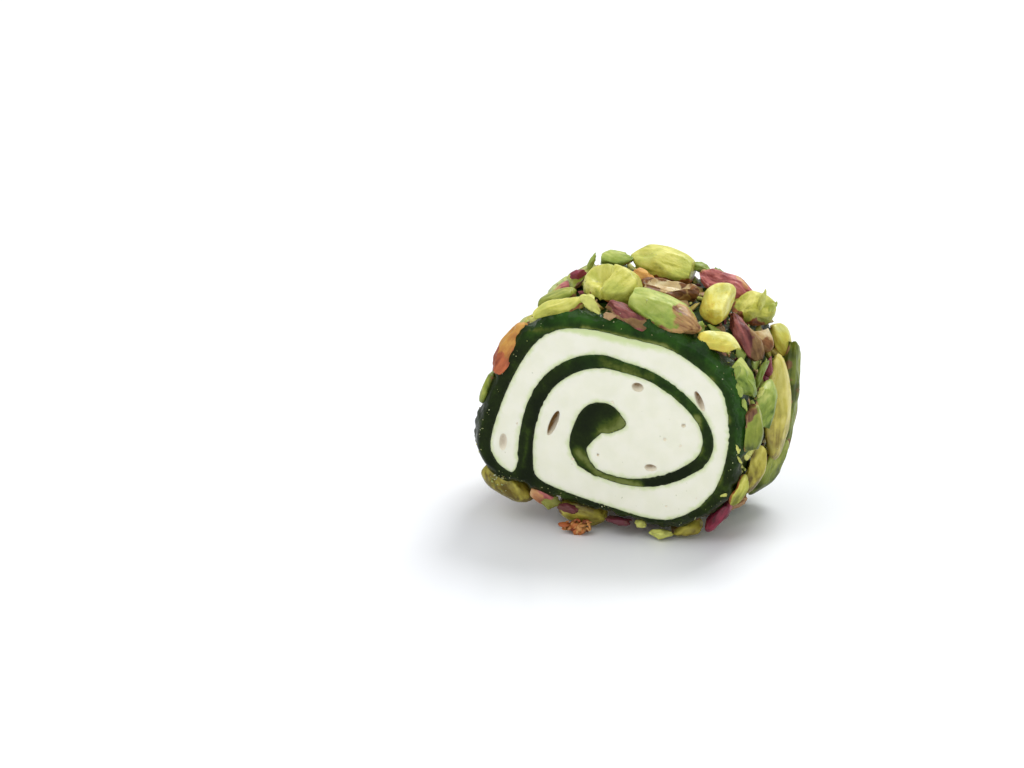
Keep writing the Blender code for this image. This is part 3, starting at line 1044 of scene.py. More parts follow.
@dataclass
class Jelly:
    """The jelly sheet: the knob and spiral on the cut faces, and the skin all round them."""

    roll: Roll
    middle: Vector
    ring_step: float = 0.34 * MM
    rim: float = 1.0 * MM
    spare: float = 1.0 * MM  # how far the skin is made past the cuts, which then trim it
    bulge: float = 0.13 * MM  # how far the jelly swells out between its edges on a cut
    swell: float = 0.16 * MM  # depth of the skin's slow lumps
    lumps: float = 0.2 * MM  # depth of its small ones
    grit: float = 0.07 * MM  # depth of its finest ones
    edge_lumps: float = 0.9  # how much deeper all of them are near the cuts
    ragged: float = 0.12 * MM  # how far the knife tears its edges
    lean: float = 0.35  # how far it tears them where the jelly is lean, as a share of that
    tears_mm: Triple = (4.0, 0.9, 0.42)  # sizes of the tears' noise, from slow to fine
    seed: int = 7  # of that noise, which differs from run to run without one
    collar: float = 0.9 * MM  # how high the jelly creeps up the nuts
    reach: float = 1.4 * MM  # how near a nut that creep begins
    thin_spots: tuple[Spot, ...] = (
        Spot((-0.4, -1.6), (3.4, 1.4), 3.0, 0.85),
        Spot((-4.6, -4.6), (-1.0, -8.0), 1.5, 0.8),
        Spot((-1.0, -8.2), (4.4, -8.9), 1.6, 1.0),
        Spot((-1.2, 9.4), (5.6, 7.6), 1.9, 0.55),
        Spot((-1.2, 8.2), (4.6, 7.0), 0.9, 0.5),
        Spot((5.0, 7.0), (9.6, 4.3), 1.2, 0.9),
        Spot((9.6, 4.3), (12.6, 0.8), 1.1, 0.8),
        Spot((12.8, 2.2), (13.0, -2.4), 1.3, 1.0),
        Spot((14.6, 8.0), (17.2, 2.5), 1.3, 0.9),
        Spot((17.0, 0.0), (16.2, -6.5), 0.9, 0.7),
        Spot((16.2, -6.5), (13.6, -10.6), 0.8, 0.5),
        Spot((-12.9, -7.6), (-12.0, -2.0), 0.7, 0.5),
        Spot((-12.0, 13.2), (-4.0, 14.0), 0.9, 0.5),
        Spot((-4.0, 14.0), (8.0, 12.4), 1.1, 1.1),
        Spot((8.0, 12.4), (15.0, 7.4), 1.1, 1.0),
    )
    thick_spots: tuple[Spot, ...] = (
        Spot((-12.6, -10.0), (-10.4, 2.0), 2.2, 0.5),
        Spot((-10.4, 2.0), (-3.0, 9.4), 2.0, 0.5),
        Spot((6.2, -8.6), (11.0, -6.0), 1.6, 0.6),
        Spot((-4.0, 0.0), (-2.0, 2.8), 2.2, 0.4),
        Spot((-19.0, -12.0), (-15.0, 4.0), 2.2, 0.3),
    )

    def torn(self, outline: Sequence[Vector]) -> list[Vector]:
        """Tears an outline's edge a little, more in some places than in others.

        Args:
            outline: the smooth outline.

        Returns:
            The torn one.
        """
        noise.seed_set(self.seed)
        points = []
        slow, coarse, fine = self.tears_mm
        for point in outline:
            flat = Vector((point.x, 0.0, point.z)) / MM
            force = self.lean + max(0.0, noise.noise(flat / slow) * 2.6)
            shift = noise.noise_vector(flat / coarse) * self.ragged * force
            shift += noise.noise_vector(flat / fine + Vector((7.0, 0.0, 0.0))) * 0.5 * self.ragged * force
            points.append(Vector((point.x + shift.x, point.y, point.z + shift.z)))
        return points

    def build(self, room: Sequence[Vector], nuts: BVHTree, finish: JellyFinish) -> Shape:
        """Builds the jelly round the room that the nougat fills.

        Args:
            room: the nougat's torn outline.
            nuts: the kernels, which the jelly creeps up.
            finish: the jelly's finish.

        Returns:
            The piece.
        """
        item = self._skin(nuts)
        carve(item, self.roll.slab("jelly_cuts", 0.0), "INTERSECT")
        ends = (self.roll.front - OVERRUN, self.roll.back + OVERRUN)
        carve(item, self.roll.prism("nougat_room", room, ends), "DIFFERENCE")
        item.name = "jelly_sheet"
        slots = self._shape_cuts(item.data, room)
        materials = [finish.make("starch_jelly_cut", 0.15), finish.make("starch_jelly_skin", 0.75)]
        dress(item, materials, ["jelly"])
        item.data.polygons.foreach_set("material_index", slots)
        return item

    def _skin(self, nuts: BVHTree) -> Shape:
        """Makes the whole roll's outside, lumpy, rounded at both rims and creeping up the nuts.

        Args:
            nuts: the kernels' surfaces.

        Returns:
            A closed object that runs past both cuts.
        """
        roll = self.roll
        count = round((roll.back - roll.front - 2.0 * self.rim) / self.ring_step)
        span = (roll.back - roll.front - 2.0 * self.rim) / count
        curve = [self.rim * (1.0 - math.cos(math.radians(angle))) for angle in (0, 25, 45, 65)]
        depths = [roll.front - self.spare] + [roll.front + depth for depth in curve]
        depths += [roll.front + self.rim + span * number for number in range(count + 1)]
        depths += [roll.back - depth for depth in reversed(curve)] + [roll.back + self.spare]
        item = roll.prism("jelly_skin", roll.skin, depths)
        mesh = item.data
        points = points_of(mesh)
        outwards = points - np.array(self.middle)
        outwards[:, 1] = 0.0
        normals = normals_of(mesh) * (1.0, 0.0, 1.0)
        weak = np.linalg.norm(normals, axis=1) < 0.2
        normals[weak] = outwards[weak]
        normals /= np.linalg.norm(normals, axis=1)[:, None]
        near = np.minimum(points[:, 1] - roll.front, roll.back - points[:, 1])
        inside_rim = np.clip(self.rim - near, 0.0, None)
        tuck = self.rim - np.sqrt(np.clip(self.rim**2 - inside_rim**2, 0.0, None))
        relief = noise_at(points, 3.6 * MM) * self.swell + noise_at(points, 1.1 * MM, 5.0) * self.lumps
        relief += noise_at(points, 0.55 * MM, 9.0) * self.grit
        relief *= 1.0 + self.edge_lumps * (1.0 - soft_step(near, 2.0 * MM, 4.5 * MM))
        relief *= 1.0 - 0.65 * soft_step(self.middle.x - points[:, 0], 12.0 * MM, 16.0 * MM)
        creep = np.zeros(len(points))
        for number, place in enumerate(points.tolist()):
            found = nuts.find_nearest(place, self.reach)
            if found[0] is not None:
                creep[number] = self.collar * (1.0 - found[3] / self.reach) ** 2
        points += normals * (relief + creep * soft_step(near, 0.0, self.rim) - tuck)[:, None]
        points[:, 2] = np.maximum(points[:, 2], GROUND_GAP)
        move_points(mesh, points)
        return item

    def _shape_cuts(self, mesh: bpy.types.Mesh, room: Sequence[Vector]) -> list[int]:
        """Swells the jelly between its edges on both cuts, marks where it is thin and where it is skin, and
        paints light on the skin towards the upper right.

        Args:
            mesh: the jelly's mesh.
            room: the nougat's outline.

        Returns:
            For each face 0 on a cut and 1 elsewhere.
        """
        points = points_of(mesh)
        normals = normals_of(mesh)
        near = np.minimum(np.abs(points[:, 1] - self.roll.front), np.abs(points[:, 1] - self.roll.back))
        on_cut = (np.abs(normals[:, 1]) > 0.8) & (near < 1.0 * MM)
        edge = np.full(len(points), 5.0 * MM)
        edge[on_cut] = self.roll.distances(points[on_cut], room)
        outline = self.roll.distances(points, self.roll.skin)
        lift = self.bulge * (1.0 - np.exp(-edge / (0.45 * MM)))
        lift = lift * soft_step(outline, self.rim, 2.2 * self.rim)
        points[on_cut, 1] += np.sign(normals[on_cut, 1]) * lift[on_cut]
        move_points(mesh, points)
        x = (points[:, 0] - self.middle.x) / MM
        z = (points[:, 2] - self.middle.z) / MM
        thin, thick = np.zeros(len(points)), np.zeros(len(points))
        for spot in self.thin_spots:
            thin = np.maximum(thin, spot.cover(x, z))
        for spot in self.thick_spots:
            thick = np.maximum(thick, spot.cover(x, z))
        outer = 1.0 - soft_step(outline, 0.3 * MM, 1.8 * MM)
        # painted light: the skin's lighter colour is given more strongly towards the upper right, where the
        # light falls
        painted_light = soft_step(x * 0.5 + z, 2.0, 12.0)
        set_attribute(mesh, "thin", (thin - thick) * on_cut)
        # painted light on the outer skin, full beside each cut and fading to a quarter of it from 1 to 3.5
        # mm behind
        lit = painted_light * (1.0 - 0.75 * soft_step(near, 1.0 * MM, 3.5 * MM))
        set_attribute(mesh, "skin", np.where(on_cut, painted_light * (0.35 + 0.65 * outer), lit))
        return [0 if all(on_cut[number] for number in face.vertices) else 1 for face in mesh.polygons]


@dataclass
class Bubble:
    """An air bubble that a cut opens: its place and size in mm, tilted clockwise from upright."""

    x: float
    z: float
    width: float
    height: float
    tilt: float = 0.0
    depth: float = 1.0

    def add(self, form: bmesh.types.BMesh, middle: Vector, cut: float) -> None:
        """Adds the bubble to a bmesh of cutters.

        Args:
            form: the bmesh that takes it.
            middle: the face's middle.
            cut: where the cut lies along Y.
        """
        place = Matrix.Translation((middle.x + self.x * MM, cut, middle.z + self.z * MM))
        tilt = Matrix.Rotation(math.radians(self.tilt), 4, "Y")
        size = Matrix.Diagonal((self.width * MM, self.depth * 2.0 * MM, self.height * MM, 1.0))
        bmesh.ops.create_uvsphere(form, u_segments=20, v_segments=12, radius=0.5, matrix=place @ tilt @ size)


@dataclass
class Nougat:
    """The white nougat that fills the jelly's spiral, with the bubbles that the knife opened."""

    roll: Roll
    middle: Vector
    sunk: float = 0.05 * MM  # how far its faces lie behind the jelly's
    specks: int = 16
    seed: int = 11
    bubbles: tuple[Bubble, ...] = (
        Bubble(-8.5, -0.6, 1.15, 4.2, 22.0, 1.3),
        Bubble(-16.0, -4.2, 1.2, 2.7, 4.0, 0.45),
        Bubble(4.0, 6.1, 1.8, 1.35, 10.0, 0.7),
        Bubble(13.1, 4.9, 1.0, 3.2, -24.0, 0.9),
        Bubble(6.0, -5.9, 1.9, 1.1, 0.0, 0.6),
        Bubble(10.8, 1.0, 0.7, 0.55, -20.0, 0.35),
        Bubble(-1.8, -4.7, 0.4, 0.4, 0.0, 0.35),
        Bubble(-13.9, -1.2, 0.35, 0.5, 0.0, 0.2),
        Bubble(8.4, -11.5, 0.45, 0.3, 0.0, 0.2),
    )

    def build(self, room: Sequence[Vector], finish: NougatFinish, wall: BubbleFinish) -> Shape:
        """Builds the nougat in the room that the jelly leaves.

        Args:
            room: the torn outline that it shares with the jelly.
            finish: the nougat's finish.
            wall: the finish of the bubbles' walls.

        Returns:
            The piece.
        """
        item = self.roll.slab("nougat_filling", -self.sunk)
        ends = (self.roll.front - OVERRUN, self.roll.back + OVERRUN)
        carve(item, self.roll.prism("nougat_side", room, ends), "INTERSECT")
        white, hollow = finish.make(), wall.make(self.roll.front)
        pits = self._pits()
        for mesh in (item.data, pits.data):
            mesh.materials.append(white)
            mesh.materials.append(hollow)
        pits.data.polygons.foreach_set("material_index", [1] * len(pits.data.polygons))
        carve(item, pits, "DIFFERENCE")
        points = points_of(item.data)
        edge = self.roll.distances(points, room) / MM
        x, z = (points[:, 0] - self.middle.x) / MM, (points[:, 2] - self.middle.z) / MM
        smeared = soft_step(z + 0.25 * x, 10.9, 12.3)  # where the knife dragged jelly over its upper band
        smeared = smeared * soft_step(x, -9.0, -3.0) * (1.0 - soft_step(x, 4.0, 11.0))
        set_attribute(item.data, "edge", np.minimum(edge, 3.0) - 0.75 * smeared)
        slots = [face.material_index for face in item.data.polygons]
        dress(item, [white, hollow], ["nougat"])
        item.data.polygons.foreach_set("material_index", slots)
        return item

    def _pits(self) -> Shape:
        """Makes the cutters of all bubbles, the named ones in front and small ones on both faces."""
        form = bmesh.new()
        for bubble in self.bubbles:
            bubble.add(form, self.middle, self.roll.front)
        chance = random.Random(self.seed)
        for _ in range(self.specks):
            side = chance.choice((self.roll.front, self.roll.back, self.roll.back))
            size = chance.uniform(0.25, 0.5) if side == self.roll.front else chance.uniform(0.3, 1.3)
            spread = Bubble(
                chance.uniform(-15.0, 15.0),
                chance.uniform(-11.0, 12.0),
                size,
                size * chance.uniform(0.7, 1.8),
                chance.uniform(-60.0, 60.0),
                0.4 * size,
            )
            spread.add(form, self.middle, side)
        return new_object("bubble_cutters", form)


# ---------------------------------------------------------------- the coating


@dataclass(frozen=True)
class Cut:
    """A flat face that the chopping knife left: the way it looks in the model's axes, and what it keeps."""

    x: float
    y: float
    z: float
    keep: float = 0.75  # share of the kernel's reach that way that stays

    @property
    def way(self) -> Vector:
        """The way that the face looks."""
        return Vector((self.x, self.y, self.z)).normalized()


@dataclass(frozen=True)
class Dent:
    """A hollow in a kernel's side, on the way from its centre that is given in the model's axes."""

    x: float
    y: float
    z: float
    size: float = 1.0  # mm
    depth: float = 1.0  # mm

    def drop(self, points: np.ndarray) -> np.ndarray:
        """Says how points, in mm from the kernel's centre, move to make the dent."""
        way = np.array(Vector((self.x, self.y, self.z)).normalized())
        reach = np.linalg.norm(points, axis=1)
        heart = points[int(np.argmax(points @ way / reach))]
        away = np.linalg.norm(points - heart, axis=1) / self.size
        inwards = -heart / np.linalg.norm(heart)
        return np.outer(np.exp(-(away**2)) * self.depth, inwards)


@dataclass
class Kernel:
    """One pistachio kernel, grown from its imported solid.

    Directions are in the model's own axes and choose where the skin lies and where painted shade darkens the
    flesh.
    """

    number: int
    nut: Nut
    skin: float = 0.1  # share of it that the papery skin covers
    skin_to: Triple = (0.0, 0.0, 0.0)
    # the side that painted shade darkens, in the model's axes
    shade_to: Triple = (0.3, -0.2, -0.9)
    swell: float = 1.12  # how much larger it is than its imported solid
    stretch: Triple = (1.0, 1.0, 1.0)  # along, across and out of the jelly
    move: Triple = (0.0, 0.0, 0.0)  # mm, in the model's axes
    turn: float = 0.0  # degrees clockwise, seen from the front
    ridges: float = 0.06  # depth of the lengthwise ridges, in mm
    wrinkles: float = 0.0  # depth of the skin's wrinkles, in mm
    chops: int = 0  # flat faces at chance places
    cuts: tuple[Cut, ...] = ()  # flat faces at known places
    crack: Optional[Cut] = None  # a split across it; keep is where it lies, from -1 to 1
    rim: float = 0.35  # how strongly the skin shows as a dark line round its foot, which also serves as painted shade where it meets the jelly
    bites: int = 3  # shallow dents where bits broke off
    dents: tuple[Dent, ...] = ()  # deeper ones at known places
    soft: int = 4  # how much its edges are rounded
    taper: tuple[float, float] = (0.1, 0.1)  # how much its left and right ends narrow
    hollow: float = 0.0  # how deep its crown is caved in, in mm
    sink: float = 0.4  # how deep it is pressed into the jelly, in mm
    voxel: float = 0.16  # in mm

    @property
    def node(self) -> str:
        """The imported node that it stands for."""
        return "kernel_{:02d}".format(self.number)

    def build(self, middle: Vector, material: bpy.types.Material) -> Shape:
        """Builds the kernel.

        Args:
            middle: the middle of the roll's face, which gives the way out of the skin.
            material: its finish.

        Returns:
            The piece.
        """
        chance = random.Random(self.number)
        form = packed(self.node)
        centre, frame = self._axes(form, middle)
        turned = Matrix(frame.tolist()).to_4x4()
        stretched = turned.transposed() @ Matrix.Diagonal((*self.stretch, 1.0)) @ turned
        grown = stretched @ Matrix.Scale(self.swell, 4)
        shift = Vector(self.move) * MM - Vector(frame[2]) * self.sink * MM
        turn = Matrix.Rotation(math.radians(self.turn), 4, "Y")
        place = Matrix.Translation(centre + shift) @ turn @ grown @ Matrix.Translation(-centre)
        bmesh.ops.transform(form, matrix=place, verts=form.verts)
        centre = centre + shift
        frame = frame @ np.array(turn.to_3x3()).T
        refine(form)
        self._chop(form, centre, frame, chance)
        item = new_object("pistachio_{:02d}".format(self.number), form)
        remesh(item, self.voxel * MM, self.soft)
        self._shape(item.data, centre, frame, chance)
        return dress(item, [material], [self.node])

    @staticmethod
    def _axes(form: bmesh.types.BMesh, middle: Vector) -> tuple[Vector, np.ndarray]:
        """Finds where the kernel lies and which way.

        Args:
            form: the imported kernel.
            middle: the middle of the roll's face.

        Returns:
            Its centre, and its axes as rows: along it, across it and out of the jelly.
        """
        points = np.array([vert.co for vert in form.verts])
        centre = points.mean(0)
        out = Vector((centre[0] - middle.x, 0.0, centre[2] - middle.z)).normalized()
        spread = np.linalg.eigh(np.cov((points - centre).T))[1]
        along = Vector(spread[:, 2])
        along = (along - out * along.dot(out)).normalized()
        if along.dot(Vector((1.0, 0.3, 0.1))) < 0.0:
            along = -along
        across = out.cross(along)
        return Vector(centre), np.array((along, across, out))

    def _chop(
        self, form: bmesh.types.BMesh, centre: Vector, frame: np.ndarray, chance: random.Random
    ) -> None:
        """Cuts flat faces off the kernel's ends and sides, and brings it back to its size.

        Args:
            form: its bmesh.
            centre: its centre.
            frame: its axes, as rows.
            chance: the source of the faces at chance places.
        """
        points = np.array([vert.co for vert in form.verts]) - np.array(centre)
        faces = [(cut.way, cut.keep) for cut in self.cuts]
        for _ in range(self.chops):
            angle = chance.uniform(0.0, 2.0 * math.pi)
            local = Vector((math.cos(angle), math.sin(angle), chance.uniform(-0.1, 0.9))).normalized()
            faces.append((Vector(np.array(local) @ frame), chance.uniform(0.66, 0.84)))
        for way, keep in faces:
            reach = float((points @ np.array(way)).max())
            chop(form, centre + way * reach * keep, way)
        before = points @ frame.T
        after = (np.array([vert.co for vert in form.verts]) - np.array(centre)) @ frame.T
        scale = np.ptp(before, axis=0) / np.ptp(after, axis=0)
        shift = (before.max(0) + before.min(0)) / 2.0 - scale * (after.max(0) + after.min(0)) / 2.0
        turned = Matrix(frame.tolist()).to_4x4()
        grown = turned.transposed() @ Matrix.Translation(shift) @ Matrix.Diagonal((*scale, 1.0)) @ turned
        bmesh.ops.transform(
            form, matrix=Matrix.Translation(centre) @ grown @ Matrix.Translation(-centre), verts=form.verts
        )

    def _shape(
        self, mesh: bpy.types.Mesh, centre: Vector, frame: np.ndarray, chance: random.Random
    ) -> None:
        """Wrinkles, tapers, dents, splits and hollows the kernel, and stores what its finish reads.

        Args:
            mesh: its mesh.
            centre: its centre.
            frame: its axes, as rows.
            chance: the source of its grain and bites.
        """
        points = points_of(mesh)
        normals = normals_of(mesh)
        local = (points - np.array(centre)) @ frame.T / MM
        half = np.abs(local).max(0)
        grain = local + np.array([chance.uniform(0.0, 40.0) for _ in range(3)])
        points = points + normals * (self._relief(local, grain, chance) * MM)[:, None]
        end = np.clip(local[:, 0] / half[0], -1.0, 1.0)
        narrow = np.where(end < 0.0, self.taper[0], self.taper[1]) * end * end * MM
        points = points - (local[:, 1:] * narrow[:, None]) @ frame[1:]
        for dent in self.dents:
            points = points + dent.drop((points - np.array(centre)) / MM) * MM
        if self.crack:
            way = np.array(self.crack.way)
            off = (points - np.array(centre)) @ way / MM
            off = off - self.crack.keep * np.abs(off).max() + noise_at(grain, 2.0, 7.0) * 0.5
            crown = soft_step(local[:, 2] / half[2], -0.4, 0.3)
            drop = 0.85 * np.exp(-((off / 0.24) ** 2)) + 0.35 * soft_step(off, -0.1, 0.5)
            points -= np.outer(crown * drop * MM, frame[2])
        inside = np.zeros(len(local))
        if self.hollow:
            inside = 1.0 - soft_step(np.hypot(local[:, 0] / half[0], local[:, 1] / half[1]), 0.5, 0.92)
            crown = soft_step(local[:, 2] / half[2], -0.2, 0.4)
            points -= np.outer(inside * crown * self.hollow * MM, frame[2])
        points[:, 2] = np.maximum(points[:, 2], GROUND_GAP)
        points[:, 1] = np.clip(points[:, 1], FRONT_REACH, BACK_REACH)
        move_points(mesh, points)
        height = local[:, 2] / half[2]
        # painted shade towards the side shade_to
        shade = np.clip(self._towards(local, half, frame, self.shade_to) * 0.6 + 0.3, 0.0, 1.0)
        blotch = noise_at(grain, 3.0, 6.0)
        cover = self.skin + blotch * 0.5
        if any(self.skin_to):
            cover = self.skin + self._towards(local, half, frame, self.skin_to) + blotch * 0.25
        # the skin's dark line round the foot: real skin rests, and also painted shade where the kernel meets
        # the jelly
        foot = 1.0 - soft_step(height + blotch * 0.5, -0.6, -0.1)
        cover = np.maximum(cover, foot * self.rim * 1.6)
        cover -= inside * 0.5 * soft_step(height, 0.0, 0.5)
        set_attribute(mesh, "grain", grain)
        # painted shade: the lower half, towards the jelly, is darker still
        set_attribute(mesh, "shade", np.maximum(shade, 1.0 - soft_step(height, -1.0, 0.3)))
        set_attribute(mesh, "skin", cover)

    def _relief(self, local: np.ndarray, grain: np.ndarray, chance: random.Random) -> np.ndarray:
        """Works out the relief of lumps, lengthwise ridges, wrinkles and bites.

        Args:
            local: the points along the kernel's axes, in mm from its centre.
            grain: the same, shifted so that no two kernels have the same noise.
            chance: the source of its bites.

        Returns:
            For each point how far it moves out, in mm.
        """
        relief = noise_at(grain, 2.6) * 0.15  # slow lumps
        ridges = noise_at(grain * (0.2, 1.0, 1.0), 0.9, 4.0)
        relief += (0.5 - np.abs(ridges) * 2.0) * self.ridges
        relief += noise_at(grain, 0.45, 8.0) * 0.014  # fine grit
        if self.wrinkles:
            folds = noise_at(grain * (0.35, 1.0, 1.0), 1.0, 2.0)
            relief += (0.4 - np.abs(folds) * 2.2) * self.wrinkles
        for _ in range(self.bites):
            heart = local[chance.randrange(len(local))]
            spread = chance.uniform(0.5, 1.3)
            away = np.linalg.norm((local - heart) * (0.6, 1.0, 1.0), axis=1)
            relief -= chance.uniform(0.2, 0.5) * np.exp(-((away / spread) ** 2))
        return relief

    @staticmethod
    def _towards(
        local: np.ndarray, half: np.ndarray, frame: np.ndarray, direction: Triple
    ) -> np.ndarray:
        """Says how far points lie towards one side of the kernel.

        Args:
            local: the points along the kernel's axes, in mm from its centre.
            half: its greatest reach along each.
            frame: the axes, as rows.
            direction: the way to that side, in the model's axes.

        Returns:
            For each point a share from -1 to 1, which is 1 at that side.
        """
        turned = frame @ np.array(Vector(direction).normalized())
        shares = (local / half) @ turned
        return shares / max(np.abs(shares).max(), 1e-9)


